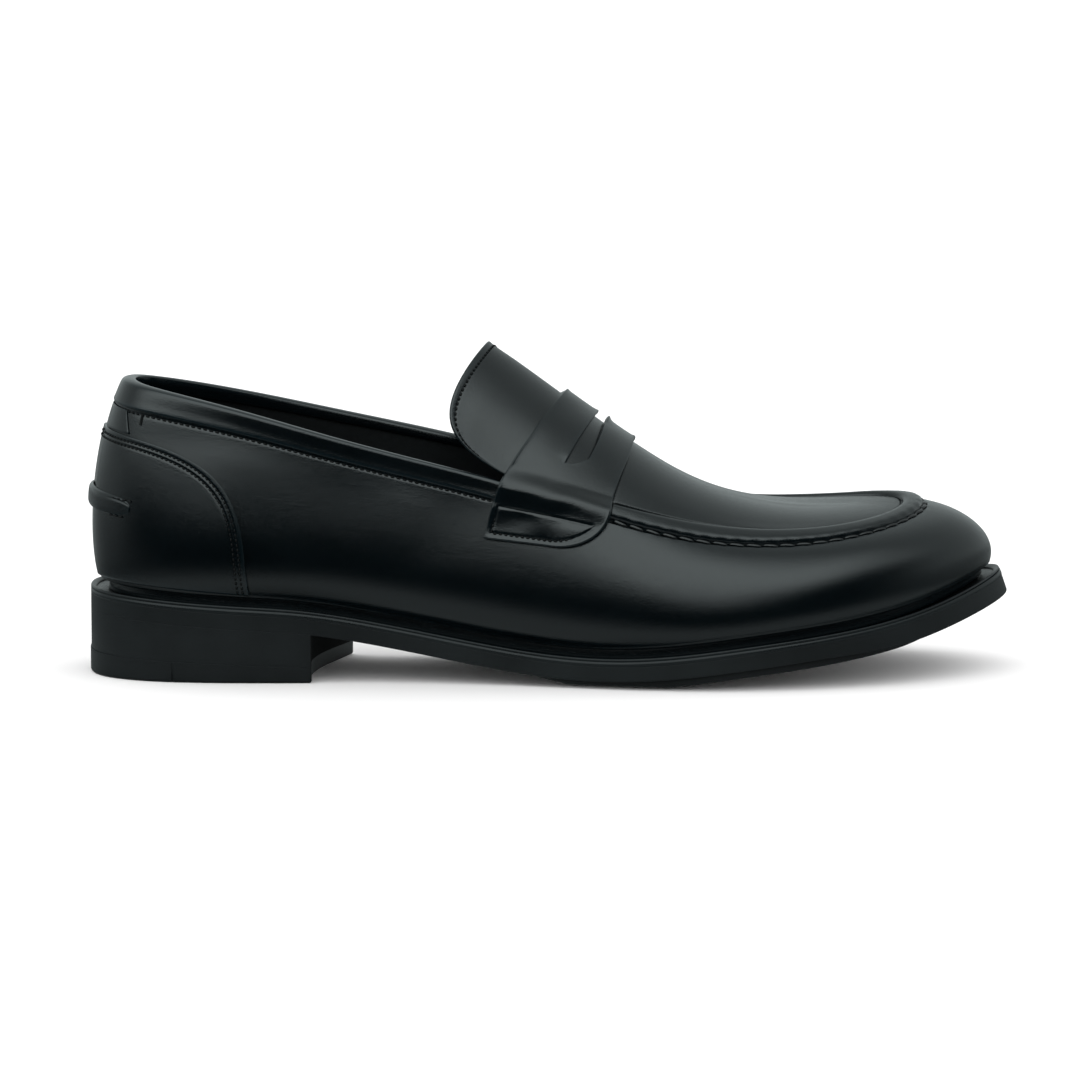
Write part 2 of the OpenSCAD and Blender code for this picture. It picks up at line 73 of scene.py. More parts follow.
WALL = np.array([[3.6, 4, 19, 8.5, 15, 0, 30, -60], [3.6, 4.5, 17, 7, 16, 0, 30, -60],
                 [3.6, 5.5, 15, 3.5, 16, 0, 30, -55], [3.8, 8, 12.5, 0.4, 14.5, 0, 26, -50],
                 [4, 9, 10.5, -0.2, 13.5, 1, 24, -42], [4.2, 10.5, 8.5, -0.5, 12.5, 2, 20, -20],
                 [4.4, 10.5, 7, 0.6, 12, 4, 14, 5], [4.4, 5.5, 8, 7, 10, 7, 10, 29],
                 [4.4, 3, 8, 10, 6.5, 8, 6.5, 51], [4.4, 2.8, 8, 11, 4.5, 7.5, 5, 74],
                 [4.4, 2.8, 8.5, 12, 2.5, 8, 3.5, 90], [4.3, 2.8, 9, 13, 1.5, 8, 2, 97],
                 [4.2, 2.8, 9, 13.5, 1, 8, 1, 99]], float)
WALLS = np.array([WALL[min(i, STATIONS - i)] for i in range(STATIONS)])
WELT_LINE = [29.2, 27.9, 26.2, 24.9, 24.0, 20.8, 16.9, 13.2, 10.4,
             9.6, 11.0, 13.8, 16.3, 19.0, 23.0, 29.6, 36.5]
RIDGE_LINE = [108.4, 97.9, 87.2, 76.4, 66.0, 59.0, 54.8, 53.2, 53.6, 55.0]
LEATHER_T, LINING_T, STRAP_T, ROLL_H, COVER_T, BINDING_T = 1.5, 0.8, 1.7, 1.9, 1.2, 0.65
STIFFENER_T, PIECE_GAP = 0.8, 0.1
WELT_T, OUTSOLE_T, TREAD_T, LIFT_T, LIFT_RISE = 2.6, 4.9, 3.6, 5, 2.8
BREAST_X, BREAST_SKEW, BREAST_BOW, TICK_X = 75, 12, 5, -121
BIND_V, COVER_W, COVER_H = 0.873, 2.97, 0.733
COVER_FOOT = 0.03     # the v where the counter cover starts
TUCK_V = 0.2          # the upper turns in on the welt between v 0 and -TUCK_V
FLUSH = 0.65          # where the welt meets the outsole, as a share of the edge's height
SLOT_U, SLOT_V = 6.43, 1.3
STRAP_U, STRAP_WIDE = 5.69, 1.3
SOFT_V = 1.083        # where the tongue and strap leave the seam
THREAD_PITCH = 1.75


def weights(f):
    return (1 - f)**3/6, (3*f**3 - 6*f**2 + 4)/6, (-3*f**3 + 3*f**2 + 3*f + 1)/6, f**3/6


def ring(points, u):
    """closed cubic curve through the stations"""
    u = np.asarray(u, float)
    i = np.floor(u).astype(int)
    w = weights((u - i)[..., None])
    return sum(points[(i + k - 1) % len(points)]*w[k] for k in range(4))


def run(values, t):
    """open cubic curve through evenly spaced values"""
    t = np.asarray(t, float)
    p = np.array([2*values[0] - values[1], *values, 2*values[-1] - values[-2]], float)
    i = np.clip(np.floor(t).astype(int), 0, len(values) - 2)
    w = weights(t - i)
    return sum(p[np.clip(i + k, 0, len(p) - 1)]*w[k] for k in range(4))


def unit(v):
    return v/np.maximum(np.linalg.norm(v, axis=-1, keepdims=True), 1e-9)


def ease(t):
    s = np.clip(t, 0, 1)
    return s*s*(3 - 2*s)


def lerp(a, b, t):
    return a + (b - a)*t


def bell(x, width):
    """1 at x = 0, near 0 at twice the width to either side"""
    return np.exp(-(x/width)**2)


def ramp(start, *parts):
    """values from start through each (count, end), with the joints once"""
    out = []
    for count, end in parts:
        out.append(np.linspace(start, end, count)[:-1])
        start = end
    return np.concatenate(out + [[start]])


def mesh(a, b):
    return np.meshgrid(a, b, indexing="ij")


def fold(u):
    """the station counted from the heel on either side"""
    return np.minimum(u, STATIONS - u)


_trace = ring(PLAN, np.arange(20*STATIONS)/20)
_lo, _hi = _trace.min(0), _trace.max(0)
_fit = np.array([LENGTH, WIDTH])/(_hi - _lo)


def outline(u):
    return (ring(PLAN, u) - (_lo + _hi)/2)*_fit


def outward(u):
    t = unit(outline(np.asarray(u) + 0.01) - outline(np.asarray(u) - 0.01))
    return np.stack([t[..., 1], -t[..., 0]], -1)


def z_welt(x):
    return run(WELT_LINE, (np.asarray(x)/KX + 160)/20)


def z_ridge(x):
    return run(RIDGE_LINE, (np.asarray(x)/KX + 20)/15)


def y_ridge(x):
    return np.clip((np.asarray(x)/KX - 10)*0.045, 0, 5)*KY


def bez(a, b, c, d, t):
    return a*(1 - t)**3 + 3*b*t*(1 - t)**2 + 3*c*t*t*(1 - t) + d*t**3


# under the feather edge: how far along (0 to 1), then in and down for the outer face and in and
# down for the inner face (mm)
COVE = np.array([[0, 0, 0, 1.5, 0], [0.06, 0.0, 0.14, 1.6, 0], [0.12, 0.08, 0.28, 1.8, 0],
                 [0.2, 0.35, 0.4, 2.1, 0], [0.35, 1.2, 0.46, 2.6, 0], [0.5, 2.1, 0.55, 3.0, 0],
                 [0.56, 2.75, 0.62, 3.3, 0.1], [0.6, 2.9, 0.8, 3.4, 0.3], [0.7, 2.9, 1.4, 3.4, 0.9],
                 [0.85, 2.79, 2.6, 3.4, 2.4], [1, 2.66, 3.9, 3.35, 3.9]]).T


def skin(u, v):
    """outer surface of the upper: u by station round the shoe; v 0 at the feather edge,
    1 at the topline or apron seam, 2 on the ridge, below 0 where it turns in on the welt"""
    u, v = np.broadcast_arrays(np.asarray(u, float), np.asarray(v, float))
    s, n = ring(WALLS, u), outward(u)
    columns = np.moveaxis(s[..., None], -2, 0)
    inset, low_out, low_up, high_out, high_down, crown_in, crown_up, x = columns
    out = np.concatenate([n, 0*n[..., :1]], -1)
    up = np.array([0, 0, 1.0])
    f2 = outline(u) - n*inset
    foot = np.concatenate([f2, z_welt(f2[..., 0])[..., None] + 3], -1)
    top = ring(TOPLINE, u)*np.array([KX, KY, 1])
    t = np.clip(v, 0, 1)[..., None]
    wall = bez(foot, foot + out*low_out + up*low_up, top + out*high_out - up*high_down, top, t)
    q = np.clip(-v, 0, None)[..., None]/TUCK_V
    tuck = foot - out*np.interp(q, COVE[0], COVE[1]) - up*np.interp(q, COVE[0], COVE[2])
    x = x[..., 0]*KX
    ridge = np.stack([x, y_ridge(x), z_ridge(x)], -1)
    h = (top - ridge)*np.array([0.125, 0.5, 0])
    t = np.clip(v - 1, 0, 1)[..., None]
    crown = bez(top, top - out*crown_in + up*crown_up, ridge + h, ridge, t)
    return np.where((v < 0)[..., None], tuck, np.where((v <= 1)[..., None], wall, crown))


def normal(u, v):
    u, v = np.broadcast_arrays(np.asarray(u, float), np.asarray(v, float))
    e = 0.01
    hi = np.where((v < 1) & (v + e > 1), 1,
                  np.where((v < 0) & (v + e > 0), 0, np.minimum(v + e, 2)))
    lo = np.where((v >= 1) & (v - e < 1), 1, np.where((v >= 0) & (v - e < 0), 0, v - e))
    n = unit(np.cross(skin(u + e, v) - skin(u - e, v), skin(u, hi) - skin(u, lo)))
    x = ring(WALLS, u)[..., 7]*KX
    crest = unit(np.stack([z_ridge(x - 0.5) - z_ridge(x + 0.5), 0*x, 0*x + 1], -1))
    k = ease((v - 1.9)/0.1)[..., None]
    return unit(n*(1 - k) + crest*k)


def at(u, v, d):
    d = np.asarray(d, float)
    return skin(u, v) + normal(u, v)*d[..., None]


_rng = np.random.RandomState(11)
_waves = [(_rng.normal(size=3), _rng.uniform(0, 6.283)) for _ in range(9)]


def wobble(p, size):
    """smooth unevenness between about -1 and 1, with bumps about size mm across"""
    return sum(np.sin(p @ (unit(d)*3.1/size*(0.7 + 0.12*k)) + a) for k, (d, a) in enumerate(_waves))/4.2


# ---- meshes
def build(name, verts, faces, rim_wear_and_highlight=None):
    me = bpy.data.meshes.new(name)
    me.from_pydata((np.asarray(verts)*MM).tolist(), [], faces)
    me.validate()
    me.polygons.foreach_set("use_smooth", [True]*len(me.polygons))
    # the per-point rim mark: rubbed edges and a painted highlight, read by the leather shader
    if rim_wear_and_highlight is not None:
        rim_wear_and_highlight_layer = me.attributes.new("rim_wear_and_highlight", "FLOAT", "POINT")
        rim_wear_and_highlight_layer.data.foreach_set("value", np.asarray(rim_wear_and_highlight, np.float32))
    me.update()
    ob = bpy.data.objects.new(name, me)
    bpy.context.scene.collection.objects.link(ob)
    return ob


def grid_faces(n, m, loop=False, tube=False, flip=False, start=0):
    """quads over n rows of m points; loop joins the last row to the first, tube the last
    point of each row to its first, and flip turns the faces over"""
    at_ij = lambda i, j: start + (i % n)*m + j % m
    order = (0, 3, 2, 1) if flip else (0, 1, 2, 3)
    faces = []
    for i in range(n if loop else n - 1):
        for j in range(m if tube else m - 1):
            quad = at_ij(i, j), at_ij(i + 1, j), at_ij(i + 1, j + 1), at_ij(i, j + 1)
            faces.append(tuple(quad[k] for k in order))
    return faces


def rod_faces(n, m, flip=False, start=0):
    """a closed rod of n rings of m points"""
    ends = [tuple(range(start, start + m)), tuple(range(start + n*m - 1, start + n*m - m - 1, -1))]
    return grid_faces(n, m, tube=True, flip=flip, start=start) + [e[::-1] if flip else e for e in ends]


def weld(points, faces, tol=1e-3):
    """faces with points closer than tol made one, and which points to keep"""
    _, first, back = np.unique(np.round(points/tol).astype(np.int64), axis=0,
                               return_index=True, return_inverse=True)
    back = back.reshape(-1)
    out = []
    for f in faces:
        g = [int(back[k]) for k in f]
        g = [a for i, a in enumerate(g) if a != g[i - 1]]
        if len(set(g)) > 2:
            out.append(tuple(g))
    return first, out


def rims(faces):
    """the open edges of a sheet as loops of vertices"""
    edges = {(f[i], f[(i + 1) % len(f)]) for f in faces for i in range(len(f))}
    follow = {a: b for a, b in edges if (b, a) not in edges}
    loops = []
    while follow:
        a = next(iter(follow))
        loop = []
        while a in follow:
            loop.append(a)
            a = follow.pop(a)
        loops.append(loop)
    return loops


def distance(points, lines):
    """from each point to the nearest point of the lines, in batches to save memory"""
    d = np.full(len(points), 1e9)
    for line in lines:
        for k in range(0, len(points), 3000):
            gaps = np.linalg.norm(points[k:k + 3000, None] - line[None], axis=2)
            d[k:k + 3000] = np.minimum(d[k:k + 3000], gaps.min(1))
    return d


def thicken(name, outer, inner, faces, bulge=0.55, steps=4, fade=2.2):
    """a closed leather piece from its two faces, with rounded edges, and its rim marked for rubbed
    leather and a painted highlight
    """
    outer, inner = outer.reshape(-1, 3), inner.reshape(-1, 3)
    keep, faces = weld(outer, faces)
    outer, inner = outer[keep], inner[keep]
    n = len(outer)
    verts, total, edges = [outer, inner], 2*n, []
    quads = faces + [tuple(k + n for k in f[::-1]) for f in faces]
    for loop in rims(faces):
        loop = np.array(loop)
        a, b = outer[loop], inner[loop]
        half = (a - b)/2
        tangent = unit(np.roll(a, -1, 0) - np.roll(a, 1, 0))
        side = unit(np.cross(tangent, unit(a - b)))*np.linalg.norm(half, axis=1, keepdims=True)
        ids = [loop]
        for g in np.arange(1, steps + 1)*math.pi/(steps + 1):
            verts.append((a + b)/2 + half*math.cos(g) + side*bulge*math.sin(g))
            ids.append(np.arange(total, total + len(loop)))
            total += len(loop)
        ids.append(loop + n)
        for p, q in zip(ids[:-1], ids[1:]):
            quads += np.stack([np.roll(p, -1), p, q, np.roll(q, -1)], 1).tolist()
        edges.append(a[::2])
    # the rim mark: 1 on the rounded rim, fading inwards on the outer face, 0 on the inner face; it
    # stands for rubbed edges and a painted highlight on the rims
    rim_wear_and_highlight = np.ones(total)
    rim_wear_and_highlight[:n], rim_wear_and_highlight[n:2*n] = np.exp(-distance(outer, edges)/fade), 0
    return build(name, np.concatenate(verts), quads, rim_wear_and_highlight)


def sheet(name, u, v, dout, din, **k):
    """a leather sheet over the upper, from grids of u and v and the offsets of its faces"""
    u, v, dout, din = np.broadcast_arrays(u, v, dout, din)
    return thicken(name, at(u, v, dout), at(u, v, din), grid_faces(*u.shape), **k)


def along(points):
    """arc length along a line of points"""
    return np.concatenate([[0], np.cumsum(np.linalg.norm(np.diff(points, axis=0), axis=1))])


def stitches(name, u, v, d, pitch, length, radius, slant=0.0, arch=0.25, flat=1.0, sides=8, rings=9):
    """a row of separate threads laid along the line (u, v) at height d above the skin"""
    c, nn = at(u, v, d), normal(u, v)
    s = along(c)
    count = max(1, int(s[-1]/pitch))
    mid = (np.arange(count) + 0.5)*s[-1]/count
    follow = lambda q, line: np.stack([np.interp(q, s, line[:, k]) for k in range(3)], -1)
    nrm = unit(follow(mid, nn))
    tan = unit(follow(mid + 0.3, c) - follow(mid - 0.3, c))
    side = unit(np.cross(tan, nrm))
    tan2 = tan*math.cos(slant) + side*math.sin(slant)
    side2 = side*math.cos(slant) - tan*math.sin(slant)
    w = np.linspace(-1, 1, rings)
    a = np.arange(sides)*2*math.pi/sides
    # arrays from here on are by stitch, ring, point of the ring, xyz
    reach = w[None]*length/2*math.cos(slant)
    bend = follow(mid[:, None] + reach, c) - tan[:, None]*reach[..., None]
    centre = bend + tan2[:, None]*(w*length/2)[None, :, None] \
        + nrm[:, None]*(arch*(1 - w**2) - arch*0.9*w**6)[None, :, None]
    rad = radius*np.sqrt(np.clip(1 - np.abs(w)**5, 0.02, 1))[:, None]
    verts = centre[:, :, None] + side2[:, None, None]*(np.cos(a)*rad)[None, ..., None] \
        + nrm[:, None, None]*(np.sin(a)*rad*flat)[None, ..., None]
    faces = [f for i in range(count) for f in rod_faces(rings, sides, start=i*rings*sides)]
    return build(name, verts.reshape(-1, 3), faces)


def join(name, *obs):
    """one piece from several meshes"""
    verts, faces, rim_wear_and_highlight, o = [], [], [], 0
    for ob in obs:
        me = ob.data
        co = np.empty(len(me.vertices)*3)
        me.vertices.foreach_get("co", co)
        verts.append(co.reshape(-1, 3)/MM)
        faces += [tuple(k + o for k in p.vertices) for p in me.polygons]
        if "rim_wear_and_highlight" in me.attributes:
            w = np.empty(len(me.vertices), np.float32)
            me.attributes["rim_wear_and_highlight"].data.foreach_get("value", w)
        else:
            w = np.zeros(len(me.vertices))
        rim_wear_and_highlight.append(w)
        o += len(me.vertices)
        bpy.data.objects.remove(ob)
        bpy.data.meshes.remove(me)
    return build(name, np.concatenate(verts), faces, np.concatenate(rim_wear_and_highlight))


# ---- bottom of the shoe
def level(p, z):
    """plan points at the heights that z gives for their x"""
    return np.c_[p, z(p[:, 0])]


def edge_row(line, out, inset, z):
    """a plan line moved in against its outward directions, at the heights of z"""
    return level(line - out*np.reshape(inset, (-1, 1)), z)


def sweep(name, line, profile):
    """a closed strip round the sole: profile is a loop of (inset, height function of x)"""
    rows = [edge_row(outline(line), outward(line), inset, z) for inset, z in profile]
    return build(name, np.stack(rows, 1).reshape(-1, 3),
                 grid_faces(len(line), len(profile), loop=True, tube=True, flip=True))


def plate(name, loop, profile, bottom, top, caps, centre):
    """a solid from a plan loop: profile is a list of (inset, height function), low to high;
    the caps shrink to centre, one point or one for each loop point"""
    t = unit(np.roll(loop, -1, 0) - np.roll(loop, 1, 0))
    out = np.stack([t[:, 1], -t[:, 0]], 1)
    edge = [edge_row(loop, out, inset, z) for inset, z in profile]
    shrunk = lambda row, k: lerp(row[:, :2], np.broadcast_to(centre, loop.shape), k/caps)
    rows = [level(shrunk(edge[0], k), bottom) for k in range(caps, 0, -1)] + edge
    rows += [level(shrunk(edge[-1], k), top) for k in range(1, caps + 1)]
    verts = np.stack(rows, 1).reshape(-1, 3)
    keep, faces = weld(verts, grid_faces(len(loop), len(rows), loop=True))
    return build(name, verts[keep], faces)


LINE = np.arange(0, STATIONS, STATIONS/600)


def spine(u):
    """the middle of the sole at each station, where both halves meet"""
    m = (outline(u) + outline(STATIONS - np.asarray(u)))/2
    return m*np.array([0.86, 1])


def z_under(x):
    return z_welt(x) - WELT_T - OUTSOLE_T


def z_lift(x):
    return LIFT_T + LIFT_RISE*(-np.asarray(x)/KX - BREAST_X)/75


def rounded(inset, z0, z1, r, q=None, above=None, steps=4, hold=0):
    """edge profile from z0 up to z1, its corners rounded to r below and q above; the inset
    at the top is above if that is given, and hold keeps the side between the corners flat"""
    q, above = r if q is None else q, inset if above is None else above
    a = np.linspace(0, math.pi/2, steps)
    low = [(inset + r - r*math.sin(g), (lambda x, g=g: z0(x) + r - r*math.cos(g))) for g in a]
    high = [(above + q - q*math.cos(g), (lambda x, g=g: z1(x) - q + q*math.sin(g))) for g in a]
    if hold:
        low.append((inset, lambda x: z0(x) + r + hold))
        high.insert(0, (above, lambda x: z1(x) - q - hold))
    return low + high


def side_inset(f):
    """how far the edge of the sole is in from the outline: f 0 at its foot, 1 at the bead;
    the edge leans out downwards at the toe"""
    toe = bell(LINE - STATIONS/2, 1.1)
    return lerp(0.3 - 1.7*toe, 0.35 + 0.85*toe, f)


def breast_curve(y):
    t = (y + 40)/76
    return -BREAST_X*KX + BREAST_SKEW*ease(t) - BREAST_BOW*np.sin(math.pi*np.clip(t, 0, 1))


def even_loop(points, count, tick=None):
    """a plan loop cut again into even steps, with more points at x = tick on the outer side"""
    q = np.concatenate([points, points[:1]])
    s = along(q)
    g = np.linspace(0, s[-1], count + 1)[:-1]
    if tick is not None:
        at_tick = s[np.argmin(np.abs(q[:, 0] - tick) + 9*(q[:, 1] > 0))]
        g = np.sort(np.concatenate([g, at_tick + np.array([-0.5, -0.35, -0.2, 0, 0.2, 0.35, 0.5])]))
    return np.stack([np.interp(g, s, q[:, 0]), np.interp(g, s, q[:, 1])], 1)


def heel_loop(inset, grow=0.0, tick=None):
    """plan of the heel: the sole outline behind the breast, closed by the breast curve"""
    u = np.linspace(-5.2, 5.2, 900)
    p = outline(u) - outward(u)*inset(u)[:, None]
    p = p[p[:, 0] < breast_curve(p[:, 1]) + grow]
    y = np.linspace(p[-1, 1], p[0, 1], 60)[1:-1]
    front = np.stack([breast_curve(y) + grow, y], 1)
    return even_loop(np.concatenate([p, front]), 480, tick)


# ---- materials
RECORD = {m["slot"]: m for m in frame["record"]["materials"]}
BLACK_CALF, BLACK_RUBBER = (0.0009, 0.0021, 0.0027), (0.0036, 0.0058, 0.0066)
PAINT = {"thread": (0.0006, 0.0012, 0.0015), "lining_leather": (0.0008, 0.0016, 0.002),
         "sock_leather": (0.0012, 0.002, 0.0024), "grip_suede": (0.0009, 0.0016, 0.002),
         "fibreboard": (0.003, 0.0024, 0.0018), "top_lift_rubber": (0.0032, 0.0052, 0.006)}
PAINT.update(dict.fromkeys(("calf_leather", "apron_leather", "strap_leather", "tongue_leather",
                            "binding_leather"), BLACK_CALF))
PAINT.update(dict.fromkeys(("outsole_rubber", "heel_stack", "welt_rubber"), BLACK_RUBBER))


def tone(slot, k=1.0):
    """a slot's colour k times as bright"""
    c = PAINT.get(slot) or RECORD[slot]["base_color"][:3]
    return tuple(min(1.0, x*k) for x in c) + (1.0,)


class Nodes:
    """a short way to write the nodes of a material or of the world"""

    def __init__(self, data, place="Object"):
        data.use_nodes = True
        self.data, self.tree = data, data.node_tree
        self.place = self.add("TexCoord")[place]

    def feed(self, socket, value):
        if isinstance(value, bpy.types.NodeSocket):
            self.tree.links.new(value, socket)
        elif value is not None:
            socket.default_value = value

    def add(self, kind, inputs=(), **settings):
        """the outputs of a new node; its inputs are given in order, or by name or number"""
        n = self.tree.nodes.new("ShaderNode" + kind)
        for k, v in settings.items():
            setattr(n, k, v)
        for k, v in inputs.items() if isinstance(inputs, dict) else enumerate(inputs):
            self.feed(n.inputs[k], v)
        return n.outputs

    def noise(self, scale, detail=3.0, rough=0.5, warp=0.0, place=None):
        return self.add("TexNoise", {"Vector": place or self.place, "Scale": scale, "Detail": detail,
                                     "Roughness": rough, "Distortion": warp})["Fac"]

    def cells(self, scale, feature="DISTANCE_TO_EDGE"):
        inputs = {"Vector": self.place, "Scale": scale}
        return self.add("TexVoronoi", inputs, feature=feature)["Distance"]

    def stretch(self, sx, sy, sz, turn=(0, 0, 0)):
        return self.add("Mapping", {"Vector": self.place, "Scale": (sx, sy, sz), "Rotation": turn})[0]

    def math(self, op, a, b=0.0, clamp=False):
        return self.add("Math", (a, b), operation=op, use_clamp=clamp)[0]

    def times(self, a, b):
        return self.math("MULTIPLY", a, b)

    def span(self, value, a, b, c=0, d=1, kind="LINEAR"):
        """value from a to b turned into c to d, and held there beyond"""
        return self.add("MapRange", (value, a, b, c, d), interpolation_type=kind)[0]

    def step(self, *values):
        return self.span(*values, kind="SMOOTHSTEP")

    def centred(self, value, size):
        return self.times(self.math("SUBTRACT", value, 0.5), size)

    def mix(self, fac, a, b):
        return self.add("Mix", {0: fac, 6: a, 7: b}, data_type="RGBA")[2]

    def bump(self, height, strength, distance, before=None):
        return self.add("Bump", {"Strength": strength, "Distance": distance, "Height": height,
                                 "Normal": before})["Normal"]

    def rim_wear_and_highlight(self):
        return self.add("Attribute", attribute_name="rim_wear_and_highlight")["Fac"]

    def surface(self, colour, rough, bump, **fixed):
        inputs = self.tree.nodes["Principled BSDF"].inputs
        for k, v in dict(fixed, Base_Color=colour, Roughness=rough, Normal=bump).items():
            self.feed(inputs[k.replace("_", " ")], v)
        return self.data


def paint(name):
    return Nodes(bpy.data.materials.new(name))


def leather(name, slot, rough, grain=0.08, pore=1350, edge=1.6, specular=0.5):
    """smooth dyed leather: fine pebbled grain, faint creases, tonal drift; rims polished a little
    smoother and lightened towards edge times the colour as a painted highlight
    """
    n = paint(name)
    drift = n.noise(38, 3, 0.55)
    fleck = n.noise(900, 2, 0.6)
    fine = n.noise(2600, 3, 0.6)
    crease = n.noise(170, 4, 0.65, 0.6, n.stretch(1, 1.25, 2.1))
    colour = n.mix(n.span(drift, 0.3, 0.7), tone(slot, 0.78), tone(slot, 1.22))
    colour = n.mix(n.span(fleck, 0.45, 0.75, 0, 0.35), colour, tone(slot, 1.7))
    # painted highlight: the marked rims lightened towards edge times the leather's colour, on top of
    # rubbed edges
    colour = n.mix(n.span(n.rim_wear_and_highlight(), 0, 1, 0, 0.75), colour, tone(slot, edge))
    r = n.math("ADD", n.span(drift, 0.25, 0.75, rough - 0.025, rough + 0.03), n.centred(fine, 0.08))
    r = n.math("SUBTRACT", r, n.times(n.rim_wear_and_highlight(), 0.03), clamp=True)
    b = n.bump(crease, 0.035, 0.0009)
    b = n.bump(n.span(n.cells(pore), 0, 0.28), grain, 0.00022, b)
    b = n.bump(fine, grain*4.5, 0.00014, b)
    return n.surface(colour, r, b, Specular_IOR_Level=specular)


def suede(name, slot):
    n = paint(name)
    nap = n.noise(1500, 5, 0.7, 1.0, n.stretch(1, 1, 0.45))
    colour = n.mix(n.span(nap, 0.35, 0.7), tone(slot, 0.55), tone(slot, 1.3))
    colour = n.mix(n.span(n.noise(60), 0.35, 0.65, 0, 0.3), colour, tone(slot, 1.6))
    return n.surface(colour, n.span(nap, 0.3, 0.7, 0.82, 0.95), n.bump(nap, 0.5, 0.0004),
                     Sheen_Weight=0.1, Sheen_Roughness=0.5, Specular_IOR_Level=0.2)


def rubber(name, slot, rough, lines=0.0, scuff=0.25, breast=False):
    """moulded or ground rubber: fine tooth, faint trimming lines along the edge, light scuffs; with
    breast, the forward-facing heel front darkened as painted shade
    """
    n = paint(name)
    tooth = n.noise(2200, 4, 0.62)
    drift = n.noise(45)
    scratch = n.noise(300, 3, 0.6, 0.3, n.stretch(0.12, 0.12, 3.2))
    colour = n.mix(n.span(drift, 0.3, 0.7), tone(slot, 0.75), tone(slot, 1.2))
    colour = n.mix(n.span(scratch, 0.62, 0.8, 0, scuff), colour, tone(slot, 2.4))
    r = n.math("ADD", n.span(drift, 0.25, 0.75, rough - 0.05, rough + 0.06),
               n.centred(tooth, 0.22), clamp=True)
    if breast:
        # painted shade: faces turned forward, the hollow front of the heel under the arch, are darkened
        # to a tenth and made fully rough
        ahead = n.add("SeparateXYZ", (n.add("NewGeometry")["True Normal"],))[0]
        cut = n.span(ahead, 0.35, 0.6)
        colour = n.mix(cut, colour, tone(slot, 0.1))
        r = n.math("MAXIMUM", r, cut)
    b = n.bump(tooth, 0.18, 0.00018)
    if lines:
        b = n.bump(scratch, lines, 0.0003, b)
    return n.surface(colour, r, b, Specular_IOR_Level=0.26)


def thread_mat(name, slot):
    n = paint(name)
    strand = n.noise(1400, 2, 0.5, 0.0, n.stretch(1, 1, 1, (0.6, 0.4, 0.8)))
    colour = n.mix(n.span(strand, 0.35, 0.65), tone(slot, 0.35), tone(slot, 1.25))
    return n.surface(colour, n.span(n.noise(5200, 2, 0.7), 0.3, 0.7, 0.5, 0.72),
                     n.bump(strand, 0.5, 0.0002), Specular_IOR_Level=0.25)


def cork_mat(name, slot):
    n = paint(name)
    edge = n.cells(520)
    colour = n.mix(n.span(n.cells(520, "F1"), 0.1, 0.7), tone(slot, 1.25), tone(slot, 0.55))
    colour = n.mix(n.span(edge, 0, 0.06, 1, 0), colour, tone(slot, 0.3))
    return n.surface(colour, n.span(n.noise(800), 0.3, 0.7, 0.75, 0.92), n.bump(edge, 0.5, 0.0005))


def board_mat(name, slot):
    n = paint(name)
    fibre = n.noise(900, 4, 0.7, 0.8, n.stretch(0.35, 1.4, 1))
    colour = n.mix(n.span(fibre, 0.3, 0.7), tone(slot, 0.7), tone(slot, 1.2))
    return n.surface(colour, n.span(fibre, 0.3, 0.7, 0.7, 0.9), n.bump(fibre, 0.35, 0.0003),
                     Specular_IOR_Level=0.2)


def metal_mat(name, slot, rough):
    n = paint(name)
    brushed = n.noise(700, 3, 0.6, 0.0, n.stretch(0.08, 1.5, 1))
    spot = n.noise(160, 4, 0.6)
    colour = n.mix(n.span(spot, 0.5, 0.72), tone(slot), tone(slot, 0.45))
    r = n.math("ADD", n.span(brushed, 0.3, 0.7, rough - 0.08, rough + 0.08),
               n.span(spot, 0.5, 0.72, 0, 0.2))
    return n.surface(colour, r, n.bump(brushed, 0.12, 0.0001), Metallic=1.0)


def foam_mat(name, slot):
    n = paint(name)
    cell = n.cells(1100, "F1")
    colour = n.mix(n.span(cell, 0, 0.6), tone(slot, 0.7), tone(slot, 1.1))
    return n.surface(colour, n.span(cell, 0, 0.6, 0.8, 0.95), n.bump(cell, 0.5, 0.0004),
                     Sheen_Weight=0.2)


MAT = {
    # edge: how many times lighter the marked rims are painted, a painted highlight over rubbed edges
    "calf_leather": leather("calf", "calf_leather", 0.13, edge=2.5),
    "apron_leather": leather("apron_calf", "apron_leather", 0.16),
    "strap_leather": leather("strap_calf", "strap_leather", 0.13, edge=2),
    "tongue_leather": leather("tongue_calf", "tongue_leather", 0.2, edge=2.5),
    "binding_leather": leather("binding_calf", "binding_leather", 0.14, 0.05, edge=3),
    "lining_leather": leather("lining", "lining_leather", 0.6, 0.1, 1700, 1.2, 0.2),
    "sock_leather": leather("sock", "sock_leather", 0.45, 0.2, 1500, 1.3, 0.4),
    "grip_suede": suede("grip", "grip_suede"),
    "outsole_rubber": rubber("sole_rubber", "outsole_rubber", 0.46),
    # breast: painted shade on the heel's front face
    "heel_stack": rubber("heel_rubber", "heel_stack", 0.48, lines=0.1, breast=True),
    "top_lift_rubber": rubber("lift_rubber", "top_lift_rubber", 0.5, lines=0.1, scuff=0.35),
    "welt_rubber": rubber("welt_edge", "welt_rubber", 0.3, scuff=0.1),
    "thread": thread_mat("waxed_thread", "thread"),
    "seam_cord": leather("seam_cord", "thread", 0.22, 0.06, edge=1),
    "cork": cork_mat("cork", "cork"),
    "fibreboard": board_mat("fibreboard", "fibreboard"),
    "spring_steel": metal_mat("spring_steel", "spring_steel", 0.34),
    "nail_metal": metal_mat("nail_brass", "nail_metal", 0.4),
    "pad_foam": foam_mat("foam", "pad_foam"),
}


